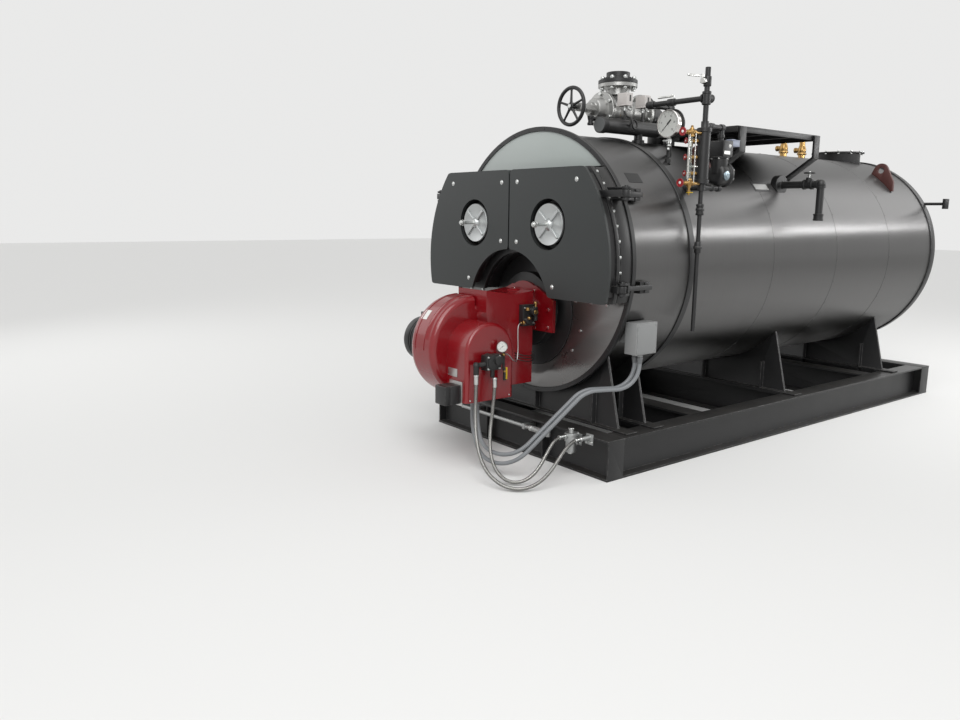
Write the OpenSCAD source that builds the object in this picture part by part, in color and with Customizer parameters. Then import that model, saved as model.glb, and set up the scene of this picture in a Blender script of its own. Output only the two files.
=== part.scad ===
// Packaged fire-tube steam boiler with an oil burner, on a steel skid.
// Lengths in millimetres, +Z up, the front of the boiler faces -Y.
// The origin is on the floor, under the middle of the skid.

/* [Placement] */
// Height of the boiler axis above the floor
axis_z = 1305; // [1280:5:1400]

/* [Shell] */
// Outer radius of the ring round the front
ring_r = 900; // [890:5:920]
// Width of the ring's rim, seen from the front
ring_rim = 30; // [24:1:36]
// Depth of the front ring
ring_t = 32; // [26:1:40]
// Outer radius of the main jacket
jacket_r = 855; // [845:1:858]
// Thickness of jacket and shell plate together
jacket_t = 10; // [8:1:14]
// Outer radius of the jacket round the smokebox
front_jacket_r = 862; // [858:1:864]
// Where the girth band starts, behind the ring's face
band_y = 575; // [560:5:600]
// Width of the girth band
band_w = 50; // [40:1:60]
// Outer radius of the girth band
band_r = 870; // [868:1:880]
// Where the main jacket ends
jacket_end = 4090; // [4080:5:4120]
// Depth of the ring round the rear end
rear_ring_w = 60; // [40:1:80]
// Outer radius of the rear ring
rear_ring_r = 866; // [862:1:875]
// Thickness of the rear door
rear_door_t = 75; // [60:5:90]

/* [Front opening] */
// Height of the doors' top edge above the axis
door_top = 612; // [600:1:620]
// Depth of the doors' bottom edge below the axis
door_drop = 199; // [190:1:210]
// Depth of the burner arch's centre below the axis
arch_drop = 319; // [300:1:330]
// Radius of the arch in the door panels
arch_r = 412; // [400:1:420]
// Depth of the black frame in front of the ring
frame_d = 100; // [90:1:110]
// Wall of the black frame
frame_t = 16; // [12:1:24]
// Width of the frame's front flange
frame_flange = 60; // [50:1:70]
// Distance of the tube sheet behind the ring's face
sheet_y = 440; // [420:5:500]
// Thickness of the tube sheet
sheet_t = 20; // [16:1:25]

/* [Doors] */
// How far the black door plates and the frame stay inside the ring
plate_inset = 7; // [3:1:15]
// Thickness of a door plate
plate_t = 30; // [25:1:35]
// Clearance between door plate and frame
door_gap = 5; // [5:0.5:8]
// How far the door panels reach past the ring
panel_over = 18; // [5:1:25]
// Thickness of a door panel
panel_t = 18; // [14:1:22]
// Depth of the lining box between plate and panel
lining_d = 75; // [60:1:80]
// How far the lining box stays inside the panel's outline
lining_inset = 38; // [30:1:50]
// Gap between the two doors
leaf_gap = 12; // [10:1:20]
// Rounding of the panels' corners
panel_round = 32; // [15:1:38]
// Distance of the port's centre from the middle of the front
port_x = 377; // [370:1:385]
// Height of the port's centre above the axis
port_z = 262; // [255:1:270]
// Radius of the round opening in a panel
port_r = 161; // [155:1:170]
// Radius of the ribbed port cover
cover_r = 132; // [120:1:140]
// Length of the port's clamping stud
stud_len = 150; // [120:1:160]
// Distance of the hinge pins outside the ring
hinge_out = 30; // [26:1:45]
// Radius of a hinge pin
pin_r = 12; // [10:0.5:14]
// Clearance round a hinge pin
pin_clear = 0.1; // [0.05:0.01:0.1]

/* [Burner] */
// Distance of the fan's axis in front of the ring
fan_y = 560; // [550:5:580]
// Depth of the fan's axis below the boiler axis
fan_drop = 545; // [540:5:560]
// Radius of the fan scroll where it is widest
scroll_r = 338; // [325:1:345]
// How much tighter each quarter of the scroll is than the last
scroll_step = 13; // [8:1:16]
// Rounding of the scroll's edge beside the air box
scroll_round = 38; // [20:1:50]
// Rounding of the scroll's domed edge on the motor's side
scroll_dome = 88; // [50:1:91]
// Width of the scroll
scroll_w = 290; // [280:5:300]
// Width of the air box beside the scroll
air_box_w = 205; // [190:5:215]
// Radius of the air box's round top
air_box_r = 193; // [185:1:198]
// Rounding of the air box's outer edge
air_box_round = 24; // [12:1:36]
// Depth of the air box's bottom below the fan's axis
air_box_drop = 305; // [290:5:315]
// Radius of the fan motor
motor_r = 160; // [140:5:170]
// Length of the fan motor
motor_len = 290; // [250:5:320]
// Width of the burner's mounting flange
flange_w = 600; // [580:5:620]

/* [Skid] */
// Overall width of the skid
skid_w = 1810; // [1780:5:1830]
// Overall length of the skid
skid_len = 4400; // [4380:5:4440]
// How far the skid stands out in front of the ring
skid_front = 170; // [150:5:200]
// Height of the skid's beams
beam_h = 260; // [240:5:270]
// Width of the beams' flanges
beam_b = 150; // [130:5:160]
// Thickness of the beams' flanges
flange_t = 14; // [10:1:18]
// Thickness of the beams' webs
web_t = 10; // [8:1:14]
// Thickness of a saddle plate
saddle_t = 20; // [16:1:25]

/* [Top fittings] */
// Distance of the stack outlet behind the front ring
stack_y = 3885; // [3850:5:3885]
// Outer radius of the stack collar
stack_r = 200; // [180:5:205]
// Radius of the collar's flange
stack_flange_r = 235; // [230:1:240]
// Radius of the circle of the flange's bolts
stack_pcd_r = 217; // [215:1:218]
// Distance of the main steam valve behind the front ring
valve_y = 763; // [750:1:780]
// Height of the main steam valve's axis above the boiler axis
valve_z = 1060; // [1055:1:1080]
// Radius of the steam pipe
steam_pipe_r = 84; // [80:1:88]
// Bore radius of the steam pipe
steam_bore_r = 77; // [72:1:78]
// Radius of the steam flanges
steam_flange_r = 140; // [135:1:145]
// Radius of the main valve's handwheel
wheel_r = 149; // [140:1:155]
// Sideways place of the control header
header_x = 190; // [180:5:200]
// Height of the control header
header_z = 930; // [925:1:940]
// Radius of the control header
header_r = 50; // [45:1:55]

/* [Water column] */
// Distance of the water column's axis outside the smokebox jacket
column_out = 38; // [33:1:48]
// Distance of the water column behind the front ring
column_y = 600; // [590:1:605]
// Radius of the water column
column_r = 40; // [36:1:44]
// Height of the column's lower end above the axis
column_z = 527; // [520:1:535]
// Length of the water column
column_len = 343; // [330:1:355]
// Distance of the gauge glass in front of the column
glass_reach = 125; // [115:1:135]
// Radius of the connecting pipes
pipe_r = 17; // [14:1:20]

/* [Platform] */
// Length of the service platform along the boiler
deck_len = 1030; // [950:10:1100]
// Where the platform starts, behind the ring's face
deck_y = 1090; // [1080:5:1120]
// Reach of the platform to the side
deck_w = 800; // [780:5:820]
// Height of the platform's underside above the axis
deck_z = 890; // [885:1:900]

/* [Hidden] */
$fn = 64;
seat = 0.3;
eps = 1;
charcoal = "#454a49";
black = "#232526";
steel = "#8d9092";
red = "#8c1a22";
brass = "#b08d3c";
band_end = band_y + band_w;
rear_y = jacket_end + rear_ring_w;
plate_r = ring_r - plate_inset;
panel_r = ring_r + panel_over;
hinge_x = ring_r + hinge_out;
column_x = front_jacket_r + column_out;
frame_y = -12 - frame_d;
plate_y = frame_y - door_gap - plate_t;
panel_y = plate_y - lining_d - panel_t;
floor_z = -axis_z;
front_reach = skid_len / 2 - skid_front;
beam_face = -skid_front;
beam_top = floor_z + beam_h;
hinge_y = plate_y + 12;
knuckle_r = pin_r + 14;
hinge_heights = [450, -110];
leaf_h = 20;
neck_r = cover_r - 6;
cover_y = plate_y - lining_d + 6;
bolt_spots = [[627, 535], [79, 532], [81, 145], [436, -127]];
mount_y = -95;
scroll_x = 46;
casing_x = 150;
exit_x = [92, 145];
exit_y = -600;
exit_z = -868;
column_top = column_z + column_len;
lower_tee_z = column_z - 22;
tee_back = 105;
upper_tee = 58;
control_back = 175;

// The boiler's own frame: origin on the axis, at the face of the front ring.
module boiler() {
    translate([0, -front_reach, axis_z]) children();
}
// An outline in X and Z, made solid from y0 back to y1.
module along_y(y0, y1) {
    translate([0, y1, 0]) rotate([90, 0, 0]) linear_extrude(y1 - y0) children();
}
// An outline in Y and Z, made solid from x0 across to x1.
module along_x(x0, x1) {
    translate([x0, 0, 0]) rotate([90, 0, 90]) linear_extrude(x1 - x0) children();
}
module rod_x(r, x0, x1) {
    translate([x0, 0, 0]) rotate([0, 90, 0]) cylinder(r = r, h = x1 - x0);
}
module rod_y(r, y0, y1) {
    translate([0, y1, 0]) rotate([90, 0, 0]) cylinder(r = r, h = y1 - y0);
}
module rod_z(r, z0, z1) {
    translate([0, 0, z0]) cylinder(r = r, h = z1 - z0);
}
module tube_y(r, t, y0, y1) {
    difference() {
        rod_y(r, y0, y1, $fn = 128);
        rod_y(r - t, y0 - eps, y1 + eps, $fn = 128);
    }
}
module block(low, high) {
    translate(low) cube(high - low);
}
// A quarter bend of pipe that turns from straight up towards -Y.
module bend_up_to_front(r, bend) {
    translate([0, -bend, 0]) rotate([90, 0, 90]) {
        rotate_extrude(angle = 90) translate([bend, 0]) circle(r = r);
    }
}

// Sheet-metal jacket round the smokebox, between the ring and the girth band.
module front_jacket() {
    color(steel) boiler() tube_y(front_jacket_r, jacket_t, ring_t - 12, band_y);
}
// Black band that covers the joint between the two jackets.
module girth_band() {
    color(black) boiler() tube_y(band_r, band_r - jacket_r + jacket_t, band_y, band_end);
}
// Stainless jacket over the boiler shell.
module main_jacket() {
    color(steel) boiler() difference() {
        tube_y(jacket_r, jacket_t, band_end, jacket_end);
        translate([0, stack_y, 0]) rod_z(stack_r - 8, 600, 1000);
    }
}
// Angle ring that closes the jacket at the rear.
module rear_ring() {
    color(black) boiler() tube_y(rear_ring_r, 60, jacket_end, rear_y);
}
// Round rear door with a raised rim, clamp lugs and its hinge bar.
module rear_door() {
    rear_bar_z = 458;
    rear_bar_r = 13;
    color(black) boiler() {
        rod_y(rear_ring_r - 8, rear_y, rear_y + rear_door_t * 0.45, $fn = 128);
        rod_y(rear_ring_r - 70, rear_y, rear_y + rear_door_t, $fn = 128);
        for (a = [15:30:345]) rotate([0, a, 0]) translate([rear_ring_r - 38, 0, 0]) {
            along_y(rear_y, rear_y + rear_door_t * 0.8) square([34, 50], center = true);
        }
        translate([0, rear_y + 20, rear_bar_z]) rod_x(rear_bar_r, 700, hinge_x - 20);
        translate([hinge_x - 20, rear_y + 20, 0]) rod_z(knuckle_r, rear_bar_z - 45, rear_bar_z + 45);
    }
}
// Rim round the front, which holds the crest panel and the lower plate.
module front_ring() {
    color(black) boiler() {
        difference() {
            rod_y(ring_r, -12, ring_t - 12, $fn = 128);
            rod_y(ring_r - ring_rim, -13, ring_t, $fn = 128);
        }
    }
}
module inside_ring() {
    circle(r = ring_r - ring_rim - seat, $fn = 128);
}
// Bare silver panel above the doors.
module crest_panel() {
    color("#c8d2cd") boiler() along_y(-6, 2) intersection() {
        inside_ring();
        translate([-ring_r, door_top + 12]) square([2 * ring_r, ring_r]);
    }
}
// Outline of the part of the front that the two doors close.
module opening_outline(r, shrink) {
    difference() {
        intersection() {
            circle(r = r - shrink, $fn = 128);
            translate([-ring_r, -door_drop + shrink]) {
                square([2 * ring_r, door_top + door_drop - 2 * shrink]);
            }
        }
        translate([0, -arch_drop]) circle(r = arch_r - 22 + shrink, $fn = 96);
    }
}
// Black box frame that carries the doors, open to the smokebox behind it.
module door_frame() {
    color(black) boiler() {
        along_y(frame_y, frame_y + frame_t) difference() {
            opening_outline(plate_r, 0);
            opening_outline(plate_r, frame_flange);
        }
        along_y(frame_y + frame_t, -12) difference() {
            opening_outline(plate_r, 0);
            opening_outline(plate_r, frame_t);
        }
    }
}
// Floor of the smokebox, which arches over the furnace front.
module smokebox_floor() {
    arch_out = arch_r - 22 + frame_t;
    color("#3a3532") boiler() along_y(ring_t - 12, sheet_y) intersection() {
        circle(r = front_jacket_r - jacket_t - seat, $fn = 128);
        difference() {
            union() {
                translate([-ring_r, -door_drop]) square([2 * ring_r, frame_t]);
                translate([0, -arch_drop]) circle(r = arch_out, $fn = 96);
            }
            translate([0, -arch_drop]) circle(r = arch_out - frame_t, $fn = 96);
            translate([-ring_r, -door_drop - ring_r]) square([2 * ring_r, ring_r]);
        }
    }
}
// Tube sheet with the open ends of the fire tubes standing out of it.
tube_pitch = 96;
row_pitch = 0.866 * tube_pitch;
tube_r = 32;
tube_wall = 5;
tube_out = 12;
tube_rows = [-1, 0, 1, 2, 3, 4, 5, 6, 7];
row_drop = 20;
tubes_within = front_jacket_r - 72;
tubes_above_arch = arch_r + 60;
tubes_below = door_top - 22;
stay_gap = 50;
function tube_fits(x, z) =
    norm([x, z]) < tubes_within && norm([x, z + arch_drop]) > tubes_above_arch
    && abs(x) > stay_gap && z < tubes_below;
function tube_spots() = [
    for (row = tube_rows)
        for (col = [-8:8])
            let (x = (col + 0.5 * abs(row % 2)) * tube_pitch, z = row * row_pitch - row_drop)
                if (tube_fits(x, z)) [x, z]
];
module tube_sheet() {
    recess = 12;
    color("#4a423c") boiler() difference() {
        union() {
            along_y(sheet_y, sheet_y + sheet_t) circle(r = front_jacket_r - jacket_t - seat, $fn = 128);
            for (p = tube_spots()) translate([p[0], 0, p[1]]) {
                rod_y(tube_r, sheet_y - tube_out, sheet_y, $fn = 20);
            }
        }
        for (p = tube_spots()) translate([p[0], 0, p[1]]) {
            rod_y(tube_r - tube_wall, sheet_y - tube_out - eps, sheet_y + recess, $fn = 20);
        }
    }
}
// Stainless plate below the doors.
module front_plate() {
    color(steel) boiler() along_y(-6, 2) difference() {
        intersection() {
            inside_ring();
            translate([-ring_r, -door_drop - ring_r]) square([2 * ring_r, ring_r - 1]);
        }
        translate([0, -arch_drop]) circle(r = arch_r - 20, $fn = 96);
    }
}
// Black refractory-backed plate and stand-off drum behind the burner.
module burner_plate() {
    color(black) boiler() {
        translate([0, 0, -arch_drop]) rod_y(arch_r - 22 - seat, -12, 2, $fn = 96);
        translate([0, 0, -arch_drop]) rod_y(255, mount_y + 22, -12);
    }
}
// Round-topped mounting flange of the burner with its eight studs.
flange_studs = [[105, -185], [250, -300], [250, -420], [120, -433]];
module burner_flange() {
    half = flange_w / 2;
    color(red) boiler() {
        along_y(mount_y, mount_y + 22) difference() {
            intersection() {
                union() {
                    translate([0, -arch_drop]) circle(r = 196);
                    polygon([
                        [-half, -450], [half, -450], [half, -236], [120, -150], [-120, -150], [-half, -236]
                    ]);
                }
                translate([-half, -450]) square([flange_w, 400]);
            }
            translate([0, -arch_drop]) circle(r = 110);
        }
        for (side = [-1, 1]) for (p = flange_studs) {
            translate([side * p[0], 0, p[1]]) rod_y(12, mount_y - 20, mount_y, $fn = 6);
        }
    }
}

// Section of the scroll from its centre out to a radius, domed on the motor's side.
module scroll_section(r) {
    x0 = scroll_x - scroll_w;
    straight = scroll_w - scroll_dome;
    translate([0, x0]) square([r - scroll_dome, scroll_w]);
    translate([0, x0 + scroll_dome]) square([r - scroll_round, straight]);
    translate([0, x0 + scroll_dome]) square([r, straight - scroll_round]);
    translate([r - scroll_dome, x0 + scroll_dome]) circle(r = scroll_dome);
    translate([r - scroll_round, scroll_x - scroll_round]) circle(r = scroll_round);
}
// One quarter of the scroll, swept about its own centre: each centre lies on a corner of a small square.
module scroll_quarter(i) {
    corner = [[1, 1], [-1, 1], [-1, -1], [1, -1]][i] * scroll_step / 2;
    translate([0, corner[0] - fan_y, corner[1] - fan_drop]) rotate([90, 0, 90]) {
        rotate([0, 0, 90 + 90 * i]) rotate_extrude(angle = 90) scroll_section(scroll_r - i * scroll_step);
    }
}
// Side view of the casing between the scroll and the flange.
module casing_outline() {
    casing_back = mount_y - 45;
    polygon([
        [-430, -800], [casing_back, -800], [casing_back, -178], [-300, -195], [-540, -160], [-540, -300]
    ]);
}
// Fan scroll with its two ribs, outlet casing and the round neck that carries it on the flange.
module burner_housing() {
    rib = 8;
    rib_out = 3;
    color(red) boiler() {
        for (i = [0:3]) scroll_quarter(i);
        for (x = [scroll_x - 0.68 * scroll_w, scroll_x - 0.34 * scroll_w]) {
            translate([0, scroll_step / 2 - fan_y, scroll_step / 2 - fan_drop]) rotate([90, 0, 90]) {
                rotate([0, 0, 90]) rotate_extrude(angle = 90) {
                    translate([scroll_r - rib, x]) square([rib + rib_out, rib]);
                }
            }
        }
        along_x(-150, scroll_x) casing_outline();
        along_x(scroll_x, casing_x) difference() {
            casing_outline();
            air_box_outline(seat);
        }
        translate([0, 0, -arch_drop]) rod_y(146, -200, mount_y);
        translate([0, 0, -arch_drop]) rod_y(110 - seat, mount_y, mount_y + 22);
    }
}
// Air box on the side of the scroll: flat sides under a round top, with a rounded outer edge.
module air_box_outline(grow) {
    translate([-fan_y - 20, -fan_drop]) {
        circle(r = air_box_r + grow);
        translate([-air_box_r - grow, -air_box_drop - grow]) {
            square([2 * (air_box_r + grow), air_box_drop + grow]);
        }
    }
}
module burner_air_box() {
    x1 = scroll_x + air_box_w;
    flat = air_box_w - air_box_round;
    inner = air_box_r - air_box_round;
    color(red) boiler() {
        translate([0, -fan_y - 20, -fan_drop]) rotate([90, 0, 90]) rotate_extrude(angle = 180) {
            translate([0, scroll_x]) square([inner, air_box_w]);
            translate([0, scroll_x]) square([air_box_r, flat]);
            translate([inner, x1 - air_box_round]) circle(r = air_box_round);
        }
        translate([0, -fan_y - 20, -fan_drop - air_box_drop]) linear_extrude(air_box_drop) {
            translate([scroll_x, -inner]) square([air_box_w, 2 * inner]);
            translate([scroll_x, -air_box_r]) square([flat, 2 * air_box_r]);
            for (y = [-inner, inner]) translate([x1 - air_box_round, y]) circle(r = air_box_round);
        }
        for (x = exit_x) translate([x, exit_y, 0]) rod_z(17, exit_z, -fan_drop - air_box_drop);
    }
}
// Fan motor with cooling fins, foot box and end cover.
module burner_motor() {
    x1 = scroll_x - scroll_w;
    color(black) boiler() translate([0, -fan_y - 15, -fan_drop]) {
        rod_x(motor_r - 14, x1 - motor_len, x1);
        rod_x(motor_r, x1 - 22, x1);
        for (x = [x1 - motor_len + 70:22:x1 - 40]) rod_x(motor_r - 4, x, x + 8);
        rod_x(motor_r - 6, x1 - motor_len, x1 - motor_len + 55);
        block([x1 - 200, -70, motor_r - 20], [x1 - 70, 70, motor_r + 40]);
    }
}
// Gear pump on the air box, with its elbow, pressure gauge and drain valve.
module fuel_pump() {
    x1 = scroll_x + air_box_w;
    pump_y = -fan_y - 50;
    color(black) boiler() {
        translate([0, pump_y, -588]) rod_x(46, x1, x1 + 75);
        block([x1 + 12, pump_y - 55, -640], [x1 + 70, pump_y + 60, -545]);
        translate([0, pump_y + 30, -580]) rod_x(30, x1 + 70, x1 + 92);
        translate([x1 + 45, 0, -600]) rod_y(15, pump_y - 105, pump_y - 55);
        translate([x1 + 45, pump_y - 120, 0]) rod_z(17, -660, -585);
        translate([x1 + 45, pump_y - 120, -600]) sphere(r = 20, $fn = 24);
        translate([x1 + 45, pump_y + 10, 0]) rod_z(14, -690, -640);
        translate([x1 + 45, 0, -570]) rod_y(9, pump_y + 60, pump_y + 100);
        translate([x1 + 45, pump_y + 100, 0]) rod_z(8, -650, -530);
        translate([x1 + 30, pump_y + 100, -502]) rotate([0, 0, -40]) rod_x(33, 0, 26);
        translate([x1 + 45, pump_y + 112, 0]) rod_z(12, -720, -640);
    }
}
// Solenoid valve and nozzle block on the casing's side.
module nozzle_block() {
    color(brass) boiler() {
        block([150, -262, -405], [188, -150, -265]);
        translate([0, -190, -310]) rod_x(26, 188, 232);
        translate([0, -235, -370]) rod_x(20, 188, 220);
        translate([205, -165, 0]) rod_z(14, -370, -280);
    }
}
// Damper actuator on its plate, on the front of the air box.
module air_actuator() {
    front = -fan_y - 20 - air_box_r;
    color(black) boiler() {
        block([85, front - 8, -870], [215, front, -715]);
        block([95, front - 128, -855], [205, front - 8, -735]);
    }
}

// Sets one ring of a swept tube across a route.
function unit(v) = v / norm(v);
function ring_at(p, t, r, sides, side) =
    let (u = unit(cross(t, side)), v = unit(cross(t, u)))
        [for (k = [0:sides - 1]) p + r * (cos(360 * k / sides) * u + sin(360 * k / sides) * v)];
function heading(route, i) =
    unit(route[min(i + 1, len(route) - 1)] - route[max(i - 1, 0)]);
// A closed tube along a route: side is a direction that the route never points in.
module cord(route, r, side, sides = 10) {
    n = len(route);
    rings = [for (i = [0:n - 1]) each ring_at(route[i], heading(route, i), r, sides, side)];
    walls = [
        for (i = [0:n - 2])
            for (k = [0:sides - 1])
                let (a = i * sides + k, b = i * sides + (k + 1) % sides)
                    each [[a, b + sides, b], [a, a + sides, b + sides]]
    ];
    last = (n - 1) * sides;
    polyhedron(points = rings, faces = concat(
        [[for (k = [0:sides - 1]) k]], walls, [[for (k = [sides - 1:-1:0]) last + k]]
    ));
}
hose_r = 11;
conduit_r = 13.5;
supply_route = [
    [320, -600, -690], [320, -600, -745], [320, -604, -801], [322, -611, -856], [327, -621, -910],
    [334, -634, -964], [346, -650, -1016], [364, -667, -1067], [387, -684, -1115], [417, -699, -1160],
    [452, -709, -1200], [492, -713, -1235], [533, -708, -1261], [574, -693, -1278], [610, -668, -1283],
    [638, -634, -1276], [656, -594, -1257], [666, -553, -1227], [667, -511, -1188], [663, -471, -1144],
    [656, -429, -1101], [649, -385, -1066], [645, -335, -1048], [645, -280, -1048]
];
return_route = [
    [296, -730, -660], [296, -730, -723], [300, -734, -786], [309, -743, -848], [324, -754, -909],
    [344, -768, -968], [370, -782, -1025], [402, -796, -1079], [440, -808, -1129], [483, -815, -1174],
    [531, -815, -1214], [581, -806, -1245], [631, -787, -1269], [676, -757, -1282], [713, -718, -1286],
    [741, -671, -1278], [758, -620, -1260], [767, -568, -1231], [768, -515, -1193], [764, -464, -1150],
    [758, -413, -1107], [752, -360, -1072], [748, -303, -1050], [748, -240, -1050]
];
gland_x = [828, 868];
gland_y = 124;
gland_z = -548;
left_conduit_route = [
    [92, -600, -868], [92, -600, -934], [94, -601, -1000], [111, -607, -1063], [145, -618, -1118],
    [190, -633, -1164], [245, -640, -1200], [307, -637, -1222], [371, -625, -1228], [433, -604, -1220],
    [487, -574, -1197], [529, -539, -1160], [557, -501, -1114], [581, -463, -1066], [605, -425, -1018],
    [629, -387, -970], [653, -348, -921], [677, -310, -873], [701, -272, -825], [725, -231, -780],
    [751, -176, -754], [775, -115, -750], [799, -54, -750], [823, 8, -748], [845, 64, -725],
    [861, 106, -677], [868, 124, -614], [868, 124, -548]
];
right_conduit_route = [
    [145, -600, -868], [145, -600, -933], [152, -602, -998], [176, -611, -1057], [213, -624, -1102],
    [266, -634, -1139], [327, -630, -1161], [389, -612, -1168], [448, -585, -1160], [497, -550, -1136],
    [532, -511, -1098], [554, -470, -1052], [576, -430, -1006], [598, -389, -959], [619, -349, -913],
    [641, -308, -867], [663, -268, -821], [685, -225, -777], [710, -170, -753], [734, -110, -750],
    [759, -49, -750], [783, 11, -748], [805, 67, -723], [821, 107, -675], [828, 124, -613],
    [828, 124, -548]
];
module supply_hose() {
    color("#a9a9a5") boiler() cord(supply_route, hose_r, unit([0.9, -0.44, 0]));
}
module return_hose() {
    color("#a9a9a5") boiler() cord(return_route, hose_r, unit([0.7, -0.7, 0]));
}
module left_conduit() {
    color("#85878a") boiler() cord(left_conduit_route, conduit_r, unit([0.6, -0.8, 0]));
}
module right_conduit() {
    color("#85878a") boiler() cord(right_conduit_route, conduit_r, unit([0.6, -0.8, 0]));
}
// Oil filter with its head and bowl, on a bracket bolted to the front beam.
module fuel_filter() {
    stand_off = 65;
    bracket_t = 6;
    filter_x = skid_w / 2 - 260;
    color(steel) boiler() translate([filter_x, beam_face - stand_off, 0]) {
        rod_z(40, -1085, -1030);
        rod_z(33, -1155, -1085);
        rod_z(12, -1168, -1155);
        rod_z(14, -1030, -1012);
        translate([0, 0, -1048]) rod_y(14, -45, stand_off - bracket_t);
        block([-25, 30, -1080], [25, stand_off, -1068]);
        block([-35, stand_off - bracket_t, -1120], [35, stand_off, beam_top]);
    }
}
// Bulkhead union for the return hose, on the face of the front beam.
module hose_union() {
    plate = 6;
    union_x = skid_w / 2 - 157;
    color(steel) boiler() {
        translate([union_x, 0, -1050]) rod_y(15, beam_face - 70, beam_face - plate);
        translate([union_x, 0, -1062]) along_y(beam_face - plate, beam_face) square([60, 70], center = true);
    }
}
// Terminal box on the boiler's side, where the two conduits end.
module junction_box() {
    color("#8a8c8c") boiler() {
        difference() {
            block([700, 90, -470], [805, 210, -350]);
            rod_y(front_jacket_r + seat, 0, 300, $fn = 128);
        }
        block([805, 50, -530], [900, 240, -330]);
        for (x = gland_x) translate([x, gland_y, 0]) rod_z(19, gland_z, -530);
    }
}

// I-section of a beam, standing in the plane of the outline.
module beam_section() {
    for (z = [0, beam_h - flange_t]) translate([-beam_b / 2, z]) square([beam_b, flange_t]);
    translate([-web_t / 2, flange_t]) square([web_t, beam_h - 2 * flange_t]);
}
rail_x = skid_w / 2 - beam_b / 2;
cross_y = [-1150, 0, 1300];
module rail(side) {
    translate([side * rail_x, 0, 0]) {
        along_y(-skid_len / 2 + beam_b, skid_len / 2 - beam_b) beam_section();
    }
}
module left_rail() {
    color(black) rail(-1);
}
module right_rail() {
    color(black) rail(1);
}
// End beam across the skid, with upright stiffeners between its flanges.
module end_beam(y) {
    translate([0, y, 0]) {
        along_x(-skid_w / 2, skid_w / 2) beam_section();
        for (x = [-skid_w / 2 + 6, -300, 300, skid_w / 2 - 6]) {
            block([x - 6, -beam_b / 2 + 4, flange_t], [x + 6, beam_b / 2 - 4, beam_h - flange_t]);
        }
    }
}
module front_beam() {
    color(black) end_beam(-skid_len / 2 + beam_b / 2);
}
module rear_beam() {
    color(black) end_beam(skid_len / 2 - beam_b / 2);
}
// Cross beams that tie the two rails together under the saddles.
module cross_beams() {
    reach = rail_x - web_t / 2 - seat;
    inner = rail_x - beam_b / 2 - seat;
    color(black) for (y = cross_y) {
        translate([0, y, 0]) {
            along_x(-inner, inner) beam_section();
            block([-reach, -web_t / 2, flange_t + seat], [reach, web_t / 2, beam_h - flange_t - seat]);
        }
    }
}
// Saddle plates: cut to the jacket above, with a foot plate across the rails below.
saddle_spots = [[70, 0], [330, 0], [2000, 1], [3600, 1]];
foot_x = skid_w / 2 - 30;
module saddles() {
    foot_t = 12;
    foot_reach = 40;
    base_x = foot_x - 115;
    top_x = base_x - 120;
    top_z = -0.65 * jacket_r;
    gusset_x = 0.65 * jacket_r;
    gusset_t = 16;
    gusset_top = -0.96 * jacket_r;
    foot_top = beam_top + foot_t;
    color(black) boiler() for (s = saddle_spots) {
        front = s[0];
        back = front + saddle_t;
        r = (s[1] == 0 ? front_jacket_r : jacket_r) + seat;
        difference() {
            union() {
                along_y(front, back) polygon([
                    [-base_x, foot_top], [base_x, foot_top], [top_x, top_z], [-top_x, top_z]
                ]);
                block([-foot_x, front - foot_reach, beam_top], [foot_x, back + foot_reach, foot_top]);
                for (x = [-gusset_x, 0, gusset_x]) translate([x - gusset_t / 2, 0, 0]) {
                    block([0, front - foot_reach, foot_top], [gusset_t, back + foot_reach, gusset_top]);
                }
            }
            rod_y(r, 0, jacket_end, $fn = 128);
        }
    }
}
// Galvanised pipe along the front beam with its coupling and upright stub.
module front_pipe() {
    y = beam_face - 20;
    color(steel) boiler() {
        translate([0, y, -1105]) rod_x(13, -560, 230);
        translate([0, y, -1105]) rod_x(20, 230, 320);
        translate([0, y, -1105]) rod_x(13, 320, 372);
        translate([385, y, -1105]) rod_z(17, -20, 62);
        for (x = [-400, 150]) {
            block([x - 12, y - 16, -1124], [x + 12, beam_face + beam_b / 2 - web_t / 2, -1086]);
        }
    }
}

// Stack outlet with a bolted flange, cut to sit on the jacket.
module stack_collar() {
    flange_z = 925;
    color(black) boiler() translate([0, stack_y, 0]) difference() {
        union() {
            rod_z(stack_r, 780, flange_z);
            rod_z(stack_flange_r, flange_z, flange_z + 12);
        }
        rod_z(stack_r - 8, 700, flange_z + 20);
        rod_y(jacket_r + seat, -400, 400, $fn = 128);
        for (a = [0:30:330]) rotate([0, 0, a]) translate([stack_pcd_r, 0, 0]) rod_z(7, 900, 960, $fn = 24);
    }
}
// Four lifting eyes welded to the shell through the jacket.
lug_spots = [1000, 3650];
lug_x = 545;
module lifting_lugs() {
    color("#4b2f2a") boiler() for (y = lug_spots) for (side = [-1, 1]) {
        translate([side * lug_x, y, 0]) difference() {
            along_y(0, 25) {
                translate([0, 745]) circle(r = 62);
                polygon([[-120, 560], [120, 560], [120, 640], [58, 770], [-58, 770], [-120, 640]]);
            }
            translate([0, 0, 745]) rod_y(27, -5, 30);
            translate([-side * lug_x, 0, 0]) rod_y(jacket_r + seat, -5, 30, $fn = 128);
        }
    }
}
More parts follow.
